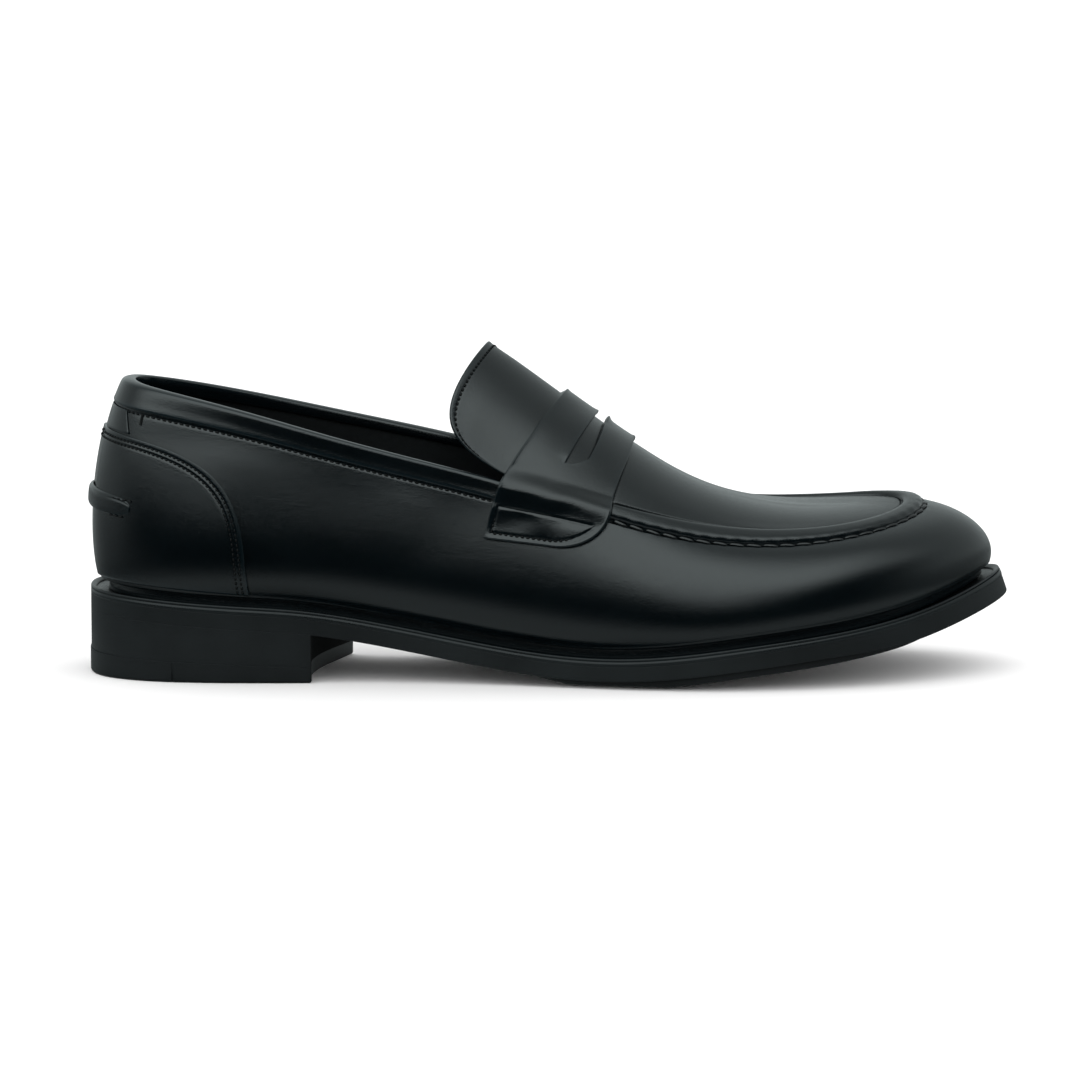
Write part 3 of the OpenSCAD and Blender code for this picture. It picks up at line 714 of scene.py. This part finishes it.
def put(ob, slot, node, body="shoe", mat=None):
    """the piece that stands for a CAD node, with its material, body and slot"""
    ob.data.materials.append(MAT[mat or slot])
    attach(ob, body)
    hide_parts(node)


# ---- edges of the upper's pieces: the station at a height v, or the v at a station
def strap_rear(v):
    return 6.03 - 0.34*(np.clip(1.45 - v, 0, None)/0.813)**1.5


def strap_front(v):
    return 6.99 - 0.07*(np.clip(v - 1.5, 0, None)/0.5)**2


def strap_foot(u):
    corner = 0.29*(1 - np.sqrt(np.clip(1 - (np.clip(u - 6.41, 0, None)/0.58)**2, 0, None)))
    return 0.637 + 0.066*(u - STRAP_U) + corner


def slot_front(v):
    t = np.clip((v - SLOT_V)/(2 - SLOT_V), 0, 1)
    return 6.44 + 0.2*np.minimum(1, t/0.17)**0.6*(1 - 0.3*ease((t - 0.3)/0.7))


def roll_edge(u):
    return 1.14 + 0.107*np.sin(math.pi/2*np.clip((fold(u) - 7)/2.1, 0, 1))


def tongue_free(v):
    return 5.03 + 0.087*(2 - v) + 0.85*np.exp(-(v - SOFT_V)/0.1)


def tongue_root(v):
    return 6.0 + 0.3*ease((v - 1.15)/0.35)


def tongue_drop(v):
    return 0.36 + 1.0*(1 - ease((v - 1.08)/0.45))


def flare(u, v):
    return u*(1 + 0.05*(u/COVER_W)**2*np.clip(0.6 - v, 0, None)/0.6)


def both(u, v, shift):
    """columns over the lateral side, across the ridge and down the medial side, where the
    piece sits a little further forward by shift"""
    far = u + shift*(1 - np.exp((v - 2)/0.12))*ease((v - SOFT_V)/0.12)
    return np.concatenate([u, (STATIONS - far[..., ::-1])[..., 1:]], -1), mirrored(v)


def mirrored(a):
    return np.concatenate([a, a[..., ::-1][..., 1:]], -1)


D_LIN = LEATHER_T + PIECE_GAP + STIFFENER_T     # depth of the lining's two faces
D_END = D_LIN + LINING_T
SEAM_PITCH, SEAM_FROM, SEAM_V = 5.4, 7.02, 0.984
TONGUE_SHIFT, STRAP_SHIFT = 0.14, 0.055
seam_u = np.linspace(SEAM_FROM, STATIONS - SEAM_FROM, 1200)
seam_s = along(skin(seam_u, SEAM_V))


def seam_phase(u):
    """0 between stitches of the apron seam and 1 at the middle of each"""
    s = np.interp(u, seam_u, seam_s)
    return 0.5 - 0.5*np.cos(2*math.pi*s/SEAM_PITCH)


def seam_here(u):
    """1 along the apron seam, 0 behind its ends"""
    return ease((fold(u) - 6.85)/0.2)


# ---- pieces of the upper
def make_side_wall():
    u = np.linspace(0, STATIONS, 760, endpoint=False)[:, None]
    v = np.concatenate([-TUCK_V*COVE[0][:0:-1], ramp(0, (32, 0.82), (34, 0.992))])[None]
    u, v = np.broadcast_arrays(u, v)
    channel = -0.85*np.exp(-((v - 0.985)/0.017)**4)
    pucker = -0.2*(1 - seam_phase(u))*np.exp(-np.clip(0.978 - v, 0, None)/0.022)
    loose = 0.16*wobble(skin(u, v), 34)*ease((v - 0.1)/0.3)*ease((0.9 - v)/0.2)
    quarter = ease((v - 0.35)/0.2)*ease((0.85 - v)/0.15)*ease((5.6 - fold(u))/0.8)
    loose = loose + 0.16*wobble(skin(u, v) + 25, 22)*quarter
    row = -0.22*bell(v - BIND_V + 0.018, 0.009)*(1 - ease((fold(u) - 5.7)/0.1))
    outer = at(u, v, seam_here(u)*(channel + pucker) + loose + row)
    outer = np.where((v < 0)[..., None], skin(u, v), outer)
    out = np.concatenate([outward(u), 0*u[..., None]], -1)
    q = np.clip(-v, 0, None)[..., None]/TUCK_V
    deep = skin(u, 0) - out*np.interp(q, COVE[0], COVE[3]) \
        - np.array([0, 0, 1.0])*np.interp(q, COVE[0], COVE[4])
    inner = lerp(at(u, np.maximum(v, 0), -LEATHER_T), deep, ease(q/0.35))
    wall = thicken("side_wall", outer, inner, grid_faces(*u.shape, loop=True))
    put(wall, "calf_leather", "side_wall")


def make_apron():
    end = ramp(6.36, (76, 7.3), (70, 9))
    u = np.concatenate([end, np.linspace(9, 15, 300)[1:-1], STATIONS - end[::-1]])
    q = np.concatenate([np.linspace(0, 1, 22), 1 + np.linspace(0, 1, 56)[1:]**1.25])
    u, q = mesh(u, q)
    e = roll_edge(u) + 0.035
    v = np.where(q <= 1, 1 + (e - 1)*q, e + (2 - e)*(q - 1))
    crease = -0.6*bell(v - roll_edge(u) - 0.008, 0.014)*seam_here(u)
    soft = 0.14*wobble(skin(u, v), 30)*ease((v - 1.25)/0.15)*(1 - ease((v - 1.9)/0.1))
    pressed = -0.32*bell(np.clip(fold(u) - strap_front(v), 0, None), 0.035)
    put(sheet("apron", u, v, crease + soft + pressed, -LEATHER_T), "apron_leather", "apron")


def make_apron_roll():
    u = np.linspace(SEAM_FROM, STATIONS - SEAM_FROM, 900)[:, None]
    t = (1 - np.cos(np.linspace(0, math.pi, 30)))[None]/2
    u, t = np.broadcast_arrays(u, t)
    w = roll_edge(u) - 1
    v = 0.997 + (w + 0.003)*t
    crown = np.clip(1 - np.abs(2*t - 1)**3.2, 0, 1)**0.55
    pinch = 0.3*(1 - seam_phase(u))*np.exp(-t/0.16)
    d = 0.02 + ROLL_H*crown*(1 - 0.12*t) - pinch + 0.07*wobble(skin(u, v), 11)*crown
    put(sheet("apron_roll", u, v, d, -0.3, bulge=0.3), "apron_leather", "apron_roll")


def make_apron_seam():
    u = np.linspace(SEAM_FROM + 0.02, STATIONS - SEAM_FROM - 0.02, 1400)
    cord = stitches("apron_stitching", u, SEAM_V, -0.16, SEAM_PITCH, 5.2, 0.7, 0.17,
                    arch=0.2, flat=0.7, sides=14, rings=15)
    put(cord, "thread", "apron_stitching", mat="seam_cord")


def strap_part(t, s, front):
    """one half of the strap, behind or in front of the slot's line. s runs 0 to 1 from the
    strap's foot to where the slot starts, and to 2 at the ridge; t runs 0 to 1 from the rear
    edge to the slot, and 1 to 2 from there to the front edge"""
    t, s = mesh(t, s)
    share = (SLOT_U - strap_rear(SLOT_V))/(strap_front(SLOT_V) - strap_rear(SLOT_V))
    full = np.where(t <= 1, t*share, share + (t - 1)*(1 - share))
    foot = strap_foot(STRAP_U + STRAP_WIDE*full)
    v = np.where(s <= 1, lerp(foot, SLOT_V, s), SLOT_V + (2 - SLOT_V)*(s - 1))
    low = lerp(strap_rear(v), strap_front(v), full)
    if front:
        lip = np.where(v <= SLOT_V, SLOT_U, np.maximum(SLOT_U, slot_front(v)))
        high = lerp(lip, strap_front(v), t - 1)
    else:
        high = lerp(strap_rear(v), SLOT_U, t)
    return np.where(s > 1, high, low), v, t


def near_rows(points, rows, width):
    """1 on the stitch rows, falling to 0 at about twice the width from them"""
    return bell(distance(points.reshape(-1, 3), rows), width).reshape(points.shape[:2])


def strap_height(p, t, s, v, rows):
    """the strap's face above the skin: it rises over the apron's rim, swells and drops at the
    front of its boxed foot, and its edges, stitches and slot stand up or sink a little"""
    front = t[0, 0] >= 1
    rim = np.exp(-(2 - t if front else t)/0.05) + np.exp(-s/0.022)
    low = v - 0.825 - 0.0215*t
    lean = 0.8*ease((v - 0.65)/0.2) + (1.15 + 0.1*t)*ease((low - 0.012*wobble(p + 60, 9))/0.16)
    d = STRAP_T + 0.05 + 0.3*wobble(p + 40, 19)*ease((v - 0.78)/0.1) + 0.08*wobble(p, 9)
    d = d + lean*(1 - ease((low - 0.15)/0.17)) + 0.28*ease((0.86 - v)/0.05)*wobble(p + 15, 8)
    d = d + 0.1*wobble(p + 80, 7)*bell(low - 0.22, 0.1)
    d = d + 0.22*np.minimum(rim, 1) - 0.3*near_rows(p, rows, 0.5)
    open_slot = ease((v - SLOT_V)/0.06)
    if front:
        lip = np.exp(-(t - 1)/0.09)*(0.1 + 0.9*ease((v - 1.86)/0.12))
    else:
        lip = 0.45*np.exp(-(1 - t)/0.12)
    d = d + lip*open_slot
    return d, np.minimum(0.05 + 0.3*np.minimum(rim, 1), d - 1.2)


def make_saddle_strap():
    s = ramp(0, (70, 0.42), (40, 1), (46, 2))
    u, v = strap_box_line()
    rows = [skin(u, v), skin(STATIONS - u, v)]
    across = np.linspace(0, 1, 56)
    across = lerp(across, (1 - np.cos(across*math.pi))/2, 0.7)
    outer, inner, faces = [], [], []
    for front in (False, True):
        u, v, t = strap_part(across + front, s, front)
        u, v = both(u, v, STRAP_SHIFT)
        d, under = strap_height(skin(u, v), mirrored(t), mirrored(s[None]), v, rows)
        faces += grid_faces(*u.shape, start=front*u.size)
        outer.append(at(u, v, d).reshape(-1, 3))
        inner.append(at(u, v, under).reshape(-1, 3))
    ob = thicken("saddle_strap", np.concatenate(outer), np.concatenate(inner), faces, 0.5, 5, 0.9)
    put(ob, "strap_leather", "saddle_strap")


def polyline(points):
    """evenly spaced points along a line of (u, v) corners; v counts 2.2 times, as in mm"""
    p = np.array(points, float)
    s = along(p*np.array([1, 2.2]))
    g = np.linspace(0, s[-1], max(8, int(s[-1]/0.02)))
    return np.interp(g, s, p[:, 0]), np.interp(g, s, p[:, 1])


def strap_box_line():
    """the stitched box at the strap's foot, as u and v"""
    rear = [(float(strap_rear(v)) + 0.055, v) for v in np.linspace(0.83, 0.69, 7)]
    foot = [(u, float(strap_foot(u)) + 0.026) for u in np.linspace(5.77, 6.4, 14)]
    turn = [(u, float(strap_foot(u)) + 0.026 + 0.11*(u - 6.4)**2)
            for u in (6.46, 6.52, 6.58, 6.63, 6.68, 6.72, 6.76, 6.8, 6.83, 6.85)]
    top = [(lerp(6.85, 5.87, t), 0.876 - 0.043*t**1.3) for t in np.linspace(0.02, 1, 14)]
    return polyline(rear + foot + turn + top)


def make_strap_stitching():
    u, v = strap_box_line()
    rows = [stitches("strap_row", side, v, STRAP_T - 0.05, THREAD_PITCH, 1.3, 0.3, 0.08, 0.16)
            for side in (u, STATIONS - u)]
    put(join("strap_stitching", *rows), "thread", "strap_stitching")


def tongue_grid(s):
    """columns of the tongue at the shares s from its free edge to its root"""
    s, v = mesh(s, SOFT_V + (2 - SOFT_V)*(np.linspace(0, 1, 80)**1.35))
    u, v = both(lerp(tongue_free(v), tongue_root(v), s), v, lerp(TONGUE_SHIFT, 0, s))
    return u, v, mirrored(s)


def make_tongue():
    u, v, s = tongue_grid(ramp(0, (16, 0.14), (30, 1)))
    drop = tongue_drop(v)
    hem = 0.22*bell(s, 0.028) - 0.25*bell(s - 0.05, 0.01)
    soft = 0.2*wobble(skin(u, v), 24)*ease((s - 0.1)/0.2)*(1 - ease((s - 0.75)/0.15))
    d = hem - drop + np.minimum(soft, 0.12)
    put(sheet("tongue", u, v, d, -drop - 1.3, bulge=0.8, steps=6, fade=1.2),
        "tongue_leather", "tongue", body="tongue")
    u, v, s = tongue_grid(np.linspace(0.02, 1, 24))
    drop = tongue_drop(v)
    put(sheet("tongue_lining", u, v, -drop - 1.34, -drop - 2.1),
        "lining_leather", "tongue_lining", body="tongue")
    v = 1.14 + 0.86*np.linspace(0, 1, 400)**1.3
    u, v = both(lerp(tongue_free(v), tongue_root(v), 0.05), v, TONGUE_SHIFT*0.95)
    put(stitches("tongue_stitching", u, v, -tongue_drop(v) - 0.1, THREAD_PITCH, 1.25, 0.29, 0.08, 0.16),
        "thread", "tongue_stitching", body="tongue")


def binding_profile():
    """the folded binding in section, from its sewn edge over the topline to the inside, as
    (v, depth, height above the topline)"""
    b, e = BINDING_T, D_END + 0.1
    prof = [(BIND_V + dv, d, 0) for dv, d in ((0, 0.08), (-0.002, 0.3), (0, 0.52), (0.004, 0.68),
                                              (0.011, 0.74), (0.03, 0.66), (0.06, b + 0.02))]
    prof += [(0.96, b + 0.05, 0), (0.985, b + 0.04, 0)]
    r, middle = (b + e + 0.5)/2, (b - e - 0.5)/2
    for g in np.radians(np.linspace(10, 170, 13)):
        prof.append((1.0, middle + r*math.cos(g), 0.1 + 0.95*math.sin(g)))
    inside = [(0.985, -0.6), (0.95, -0.62), (0.93, -0.5), (0.93, -0.05), (0.96, 0)]
    return prof + [(v, d - e, 0) for v, d in inside] + [
        (1.0, -e + 0.1, 0.05), (1.0, -D_END/2, 0.12), (1.0, 0.0, 0.06), (0.97, 0.05, 0)]


def make_binding():
    u = np.linspace(-5.92, 5.92, 430)
    prof = binding_profile()
    n, m = len(u), len(prof)
    up = unit(skin(u, 1) - skin(u, 0.97))
    cols = [at(u, v, d + (0.05*wobble(skin(u, v), 12) if d > 0.3 else 0)) + up*h for v, d, h in prof]
    # the sewn edge and the fold over the topline are marked for rubbed leather and a painted highlight
    rim_wear_and_highlight = np.zeros(m)
    rim_wear_and_highlight[2:5], rim_wear_and_highlight[9:22] = 1, 0.75
    put(build("topline_binding", np.stack(cols, 1).reshape(-1, 3), rod_faces(n, m), np.tile(rim_wear_and_highlight, n)),
        "binding_leather", "topline_binding")
    u = np.linspace(-5.78, 5.78, 900)
    put(stitches("topline_stitching", u, BIND_V - 0.02, 0.02, 2.0, 1.45, 0.24, 0.08, 0.14),
        "thread", "topline_stitching")


def cover_top(u):
    return COVER_H*(1 - np.minimum(1, np.abs(u)/COVER_W)**5)**0.2


def cover_line(row):
    """where a row of stitches runs on the counter cover: up the front, over the top and down"""
    w, h = COVER_W - 0.05*row, COVER_H - 0.022*row
    start = math.asin((0.13/h)**2.5)
    g = np.linspace(start, math.pi - start, 600)
    u, v = w*np.sign(np.cos(g))*np.abs(np.cos(g))**0.4, h*np.sin(g)**0.4
    low = np.linspace(COVER_FOOT, v[0], 12)[:-1]
    v = np.concatenate([low, v, low[::-1]])
    return flare(np.concatenate([0*low + u[0], u, 0*low + u[-1]]), v), v


def make_counter_cover():
    g = np.linspace(-1, 1, 361)
    a = np.sign(g)*(1 - (1 - np.abs(g))**2.2)*math.pi/2*0.9985
    u = COVER_W*np.sign(a)*np.abs(np.sin(a))**0.4
    top = np.maximum(cover_top(u), 2*COVER_FOOT)
    apart = np.r_[True, np.abs(np.diff(u)) + np.abs(np.diff(top)) > 4e-4]
    u, top = u[apart, None], top[apart, None]
    v = lerp(COVER_FOOT, top, ramp(0, (44, 0.85), (26, 1))[None])
    u = flare(u + 0*v, v)
    p = skin(u, v)
    d = COVER_T + 0.05 + 0.1*wobble(p, 28)*ease((0.6 - v)/0.3) \
        - 0.2*near_rows(p, [skin(*cover_line(row)) for row in (1, 2)], 0.42)
    put(sheet("counter_cover", u, v, d, 0.05, bulge=0.45, fade=1.2), "calf_leather", "counter_cover")
    rows = [stitches("cover_row", *cover_line(row), COVER_T - 0.02, 1.6, 1.15, 0.27, 0.06, 0.14)
            for row in (1, 2)]
    put(join("counter_stitching", *rows), "thread", "counter_stitching")


def make_heel_tab():
    """a low folded tab round the back, sinking into the counter at its ends"""
    u = 1.58*np.sin(np.linspace(-1, 1, 160)*math.pi/2)[:, None]
    t = np.linspace(-1, 1, 34)[None]
    u, t = np.broadcast_arrays(u, t)
    w = 0.046*(1 - (np.abs(u)/1.6)**10)**0.5
    end = ease((1.58 - np.abs(u))/0.75)
    v = 0.412 + w*t
    rolled = np.clip(1 - np.abs(t)**4, 0, 1)**0.5
    d = COVER_T + 0.32 + (0.15 + 1.0*end)*rolled - 0.25*bell(t - 0.66, 0.1)*(1 - end)
    put(sheet("heel_tab", u, v, d, COVER_T + 0.06, bulge=0.6, fade=0.9), "calf_leather", "heel_tab")


def make_back_strip():
    v = np.linspace(0.744, 0.856, 12)[None]
    u = np.linspace(-1, 1, 60)[:, None]*(1.28 - 0.18*(v - 0.744)/0.104)
    put(sheet("back_strip", u, v, 0.4, 0.1, bulge=0.7, fade=0.5), "calf_leather", "back_strip")


def make_bartacks():
    """the tacks at the back strip's ends and the stitches at the heel tab's ends"""
    rows = []
    for side in (-1, 1):
        v = np.linspace(0.80, 0.85, 40)
        rows.append(stitches("tack", side*1.48, v, 0.12, 0.34, 1.0, 0.2, math.pi/2, 0.12))
        for v, a, b in ((0.446, 1.12, 1.62), (0.367, 1.2, 1.5)):
            u = side*np.linspace(a, b, 40)
            rows.append(stitches("tab_end", u, v, COVER_T + 0.42, 2.0, 1.5, 0.28, 0.03, 0.16))
    put(join("bartacks", *rows), "thread", "bartacks")


def lining(name, end_u, v, d0, d1, slot="lining_leather", cols=240):
    """an even sheet of lining between two stations"""
    u = np.linspace(*end_u, cols)[:, None]
    put(sheet(name, u, v[None], d0, d1), slot, name)


def make_linings():
    wall = np.linspace(0, 0.985, 30)
    lining("vamp_lining", (6, 18), wall, -D_LIN, -D_END)
    lining("quarter_lining", (-5.98, 5.98), wall, -D_LIN, -D_END)
    lining("heel_grip", (-2.667, 2.667), np.linspace(0.15, 0.88, 30), -D_END - 0.1, -D_END - 0.9,
           "grip_suede", 150)
    lining("apron_lining", (6.4, 17.6), ramp(1.02, (8, 1.3), (16, 2)), -D_LIN, -D_END, cols=260)


# ---- bottom
def make_outsole():
    top = lambda x: z_welt(x) - WELT_T - 0.02
    r = lerp(0.04, 0.35, ease((outline(LINE)[:, 0] + (BREAST_X - 4)*KX)/9))
    foot = lambda x: z_under(x) - 1.6*ease((x/KX - 85)/35)
    edge = rounded(side_inset(0), foot, top, r, 0.05, side_inset(FLUSH), hold=0.3)
    put(plate("outsole", outline(LINE), edge, z_under, top, 14, spine(LINE)),
        "outsole_rubber", "outsole")


def make_welt():
    low, high = (lambda x: z_welt(x) - WELT_T), (lambda x: z_welt(x) - 1.0)
    a, b = side_inset(FLUSH), side_inset(0.87)
    prof = [(14, low), (a + 0.04, low), (a, lambda x: low(x) + 0.04), (b, lambda x: high(x) - 0.03),
            (b + 0.1, high), (14, high)]
    put(sweep("welt", LINE, prof[::-1]), "welt_rubber", "welt")
    shape = [(0.14, -0.98), (0.14, -0.84), (0.02, -0.72), (0, -0.55), (0.02, -0.38), (0.1, -0.2),
             (0.24, -0.06), (0.42, 0), (0.75, -0.02), (1.2, -0.12), (1.7, -0.32), (2, -0.6), (2, -0.98)]
    prof = [(side_inset(1) + i, lambda x, h=h: z_welt(x) + h) for i, h in shape]
    put(sweep("welt_bead", LINE, prof[::-1]), "welt_rubber", "welt_bead")


def z_tread(x):
    thinner = 2.2*ease((14 - x/KX)/20) + 2.2*ease((x/KX - 112)/28)
    return np.maximum(0, z_under(x) - TREAD_T + thinner)


def z_between_bars(x):
    return np.minimum(z_tread(x) + 0.9, z_under(x) - 0.3)


def make_tread():
    x0, x1 = -6*KX, 141*KX
    u = np.linspace(0, STATIONS, 2401)[:-1]
    p = outline(u) - outward(u)*3.2
    p[:, 0] = np.clip(p[:, 0], x0, x1)
    loop = even_loop(p, 600)
    top = lambda x: z_under(x) - 0.02
    along_x = 2*np.round(np.clip(loop[:, 0], x0 + 40, x1 - 46)/2)
    body = plate("tread_base", loop, rounded(0, z_between_bars, top, 0.3), z_between_bars, top, 12,
                 np.stack([along_x, y_mid(along_x)], 1))
    bars = [tread_bar(x, loop) for x in np.arange(0, 134, 4.2)*KX]
    put(join("tread_forefoot", body, *[b for b in bars if b]), "outsole_rubber", "tread_forefoot")


def y_mid(x):
    u = np.linspace(0.5, 11.5, 400)
    mid = (outline(u) + outline(STATIONS - u))/2
    return np.interp(x, mid[:, 0], mid[:, 1])


def tread_bar(x, loop):
    """one cross bar of the tread, a shallow bow across the sole"""
    ys = loop[np.abs(loop[:, 0] - x) < 1.2, 1]
    if len(ys) == 0 or np.ptp(ys) < 21:
        return None
    lo, hi = ys.min() + 4.5, ys.max() - 4.5
    y = np.linspace(lo, hi, 40)
    half = 2*(y - lo)/(hi - lo) - 1
    cx = x + 3.2*(1 - half**2) - 1.6 + 0.55*np.sin((y - lo)*2*math.pi/13)
    end = np.clip(1 - np.abs(half)**16, 0.05, 1)
    rows = []
    for side, depth in ((-1, 0), (-0.86, 0.62), (-0.62, 0.86), (0.62, 0.86), (0.86, 0.62), (1, 0)):
        px = cx + side*1.15*end
        base = z_between_bars(px)
        z = np.maximum(0, base - depth*(0.3 + 0.7*end)) if depth else base + 0.25
        rows.append(np.stack([px, y, z], 1))
    return build("tread_bar", np.stack(rows, 1).reshape(-1, 3), rod_faces(len(y), len(rows), flip=True))


def make_heel():
    centre = np.array([-112.0*KX, 0.0])
    low, top = (lambda x: z_lift(x) + 0.02), (lambda x: z_under(x) - 0.03)
    loop = heel_loop(lambda u: 0.3 + 0*u)
    put(plate("heel_block", loop, rounded(0, low, top, 0.05, 0.04, hold=0.3), low, top, 8, centre),
        "heel_stack", "heel_block")
    ground = lambda x: 0*x
    loop = heel_loop(lambda u: 0.28*ease((np.abs(u) - 1.0)/0.7), 0.05, TICK_X*KX)
    lift = plate("heel_top_lift", loop, rounded(0, ground, z_lift, 0.9, 0.05, steps=6, hold=0.3),
                 ground, z_lift, 10, centre)
    # the small upright notch in the lift's outer side
    for co in (v.co for v in lift.data.vertices):
        x, y, z = co/MM
        if y < -20 and z < 4.6:
            co.y += 0.6*MM*math.exp(-((x - TICK_X*KX)/0.28)**2)
    put(lift, "top_lift_rubber", "heel_top_lift")


def make_nails():
    """a row of nails round the heel, their heads in the top lift"""
    count, sides = 9, 20
    prof = [(0.0, 0.01), (0.7, 0.01), (1.15, 0.03), (1.3, 0.1), (1.3, 3.0), (0.0, 3.2)]
    verts, faces = [], []
    for u in np.linspace(-2.76, 2.76, count):
        x, y = outline(u) - outward(u)*11
        faces += grid_faces(len(prof), sides, tube=True, flip=True, start=len(verts))
        verts += [(x + r*math.cos(a), y + r*math.sin(a), z)
                  for r, z in prof for a in np.arange(sides)*2*math.pi/sides]
    keep, faces = weld(np.array(verts), faces)
    put(build("heel_nails", np.array(verts)[keep], faces), "nail_metal", "heel_nails")


def make_sock():
    low = lambda x: z_welt(x) + 2.3 + 2.4*ease((-58 - x/KX)/16)
    top = lambda x: low(x) + 0.9
    put(plate("sock_lining", outline(LINE), rounded(10, low, top, 0.3), low, top, 24, spine(LINE)),
        "sock_leather", "sock_lining")


def dress_cad():
    """the hidden pieces keep their CAD shape and get a material"""
    for node, slot in (("bottom_filler", "cork"), ("shank", "spring_steel"), ("heel_pad", "pad_foam"),
                       ("insole_board", "fibreboard"), ("toe_puff", "fibreboard"),
                       ("counter_stiffener", "fibreboard")):
        data = frame["nodes"][node].data
        data.materials.clear()
        data.materials.append(MAT[slot])


# ---- camera, floor and light
CAMERA_LENS, CAMERA_FAR, CAMERA_ABOVE = 162.67, 1.6, 7.5      # mm, m, degrees
CAMERA_AIM = Vector((-0.0025, 0, 0.0421))
DOME = 1.42                                  # what lights the floor and the matt surfaces
FRONT_BOX, TOP_LIGHT, COOL = 2.25, 0.56, (0.89, 1.0, 1.0, 1.0)       # what gloss sees above
GLOW, BACK_FLOOR = 0.42, 0.26                # what gloss sees of the floor, near and far behind


def make_camera():
    cam = bpy.data.objects.new("camera", bpy.data.cameras.new("camera"))
    bpy.context.scene.collection.objects.link(cam)
    cam.data.sensor_width, cam.data.lens = 36, CAMERA_LENS
    e = math.radians(CAMERA_ABOVE)
    cam.location = CAMERA_AIM + CAMERA_FAR*Vector((0, -math.cos(e), math.sin(e)))
    cam.rotation_mode = "QUATERNION"
    cam.rotation_quaternion = (CAMERA_AIM - cam.location).to_track_quat("-Z", "Y")
    cam.data.clip_start, cam.data.clip_end = 0.05, 60
    bpy.context.scene.camera = cam


def plane(name, r, z, mat):
    """a square of the stage, r metres to each side"""
    me = bpy.data.meshes.new(name)
    me.from_pydata([(-r, -r, z), (r, -r, z), (r, r, z), (-r, r, z)], [], [(0, 1, 2, 3)])
    ob = bpy.data.objects.new(name, me)
    bpy.context.scene.collection.objects.link(ob)
    ob.data.materials.append(mat)
    return ob


def make_floor_glow():
    """what gloss sees of the floor: a soft pool of light round the shoe with a painted contact shadow
    close to it, lighter under the raised waist, and dark beyond it
    """
    n = paint("floor_glow")
    x, y, _ = n.add("SeparateXYZ", (n.place,))
    length = lambda a: n.math("SQRT", n.math("ADD", n.times(a, a), n.times(y, y)))
    beyond = length(n.math("MAXIMUM", n.math("SUBTRACT", n.math("ABSOLUTE", x), 0.1), 0.0))
    pool = n.step(beyond, 0.08, 0.15, 1.0, 0.0)
    # painted contact shadow: close to the shoe, the floor that gloss sees is dimmed to a quarter; waist
    # keeps it lit further in under the raised arch
    waist = n.span(n.math("ABSOLUTE", n.math("ADD", x, 0.03)), 0.02, 0.055, 0.03, 0.0)
    near = n.span(n.math("ADD", beyond, waist), 0.036, 0.07, 0.25, 1.0)
    reach = length(x)
    behind = n.step(n.math("DIVIDE", y, n.math("MAXIMUM", reach, 0.001)), -0.72, 0.0)
    far = n.span(reach, 0.15, 0.32, 0.0, BACK_FLOOR)
    light = n.math("MAXIMUM", n.times(n.times(pool, near), GLOW), n.times(behind, far))
    n.feed(n.tree.nodes["Material Output"].inputs["Surface"], n.add("Emission", (COOL, light))[0])
    card = plane("floor_glow", 12, 0.0004, n.data)
    for kind in ("camera", "diffuse", "shadow", "transmission", "volume_scatter"):
        setattr(card, "visible_" + kind, False)


def make_world():
    """an even dome for the floor and the soft light; for gloss, a large softbox in front and
    above, a weaker light overhead and behind, and a dark horizon"""
    world = bpy.data.worlds.new("studio")
    bpy.context.scene.world = world
    n = Nodes(world, "Generated")
    x, y, z = n.add("SeparateXYZ", (n.place,))
    raised = n.math("SUBTRACT", z, n.step(x, 0.0, 0.3, 0.0, 0.25))
    side = n.times(n.step(y, -0.6, 0.05, 1.0, 0.0), n.step(x, 0.37, 0.47, 1.0, 0.55))
    front = n.times(side, n.step(raised, 0.185, 0.4, 0.0, FRONT_BOX))
    back = n.times(n.step(z, -0.3, 0.15, 0.0, TOP_LIGHT), n.step(y, -0.72, 0.0))
    gloss = n.add("Background", (COOL, n.math("ADD", front, back)))[0]
    dome = n.tree.nodes["Background"]
    dome.inputs["Color"].default_value = (1, 1, 1, 1)
    dome.inputs["Strength"].default_value = DOME
    pick = n.add("MixShader", (n.add("LightPath")["Is Glossy Ray"], dome.outputs[0], gloss))
    n.feed(n.tree.nodes["World Output"].inputs["Surface"], pick[0])


def make_stage():
    n = paint("floor_paint")
    n.surface((0.93, 0.93, 0.93, 1), 0.6, n.bump(n.noise(400), 0.02, 0.0005), Specular_IOR_Level=0.0)
    plane("floor", 14, 0, n.data)
    make_floor_glow()
    make_world()
    view = bpy.context.scene.view_settings
    view.view_transform, view.look, view.exposure, view.gamma = "Standard", "None", 0.0, 1.0


for make in (make_camera, make_outsole, make_welt, make_tread, make_heel, make_nails, make_sock,
             make_side_wall, make_apron, make_apron_roll, make_apron_seam, make_saddle_strap,
             make_strap_stitching, make_tongue, make_binding, make_counter_cover, make_heel_tab,
             make_back_strip, make_bartacks, make_linings, dress_cad, make_stage):
    make()
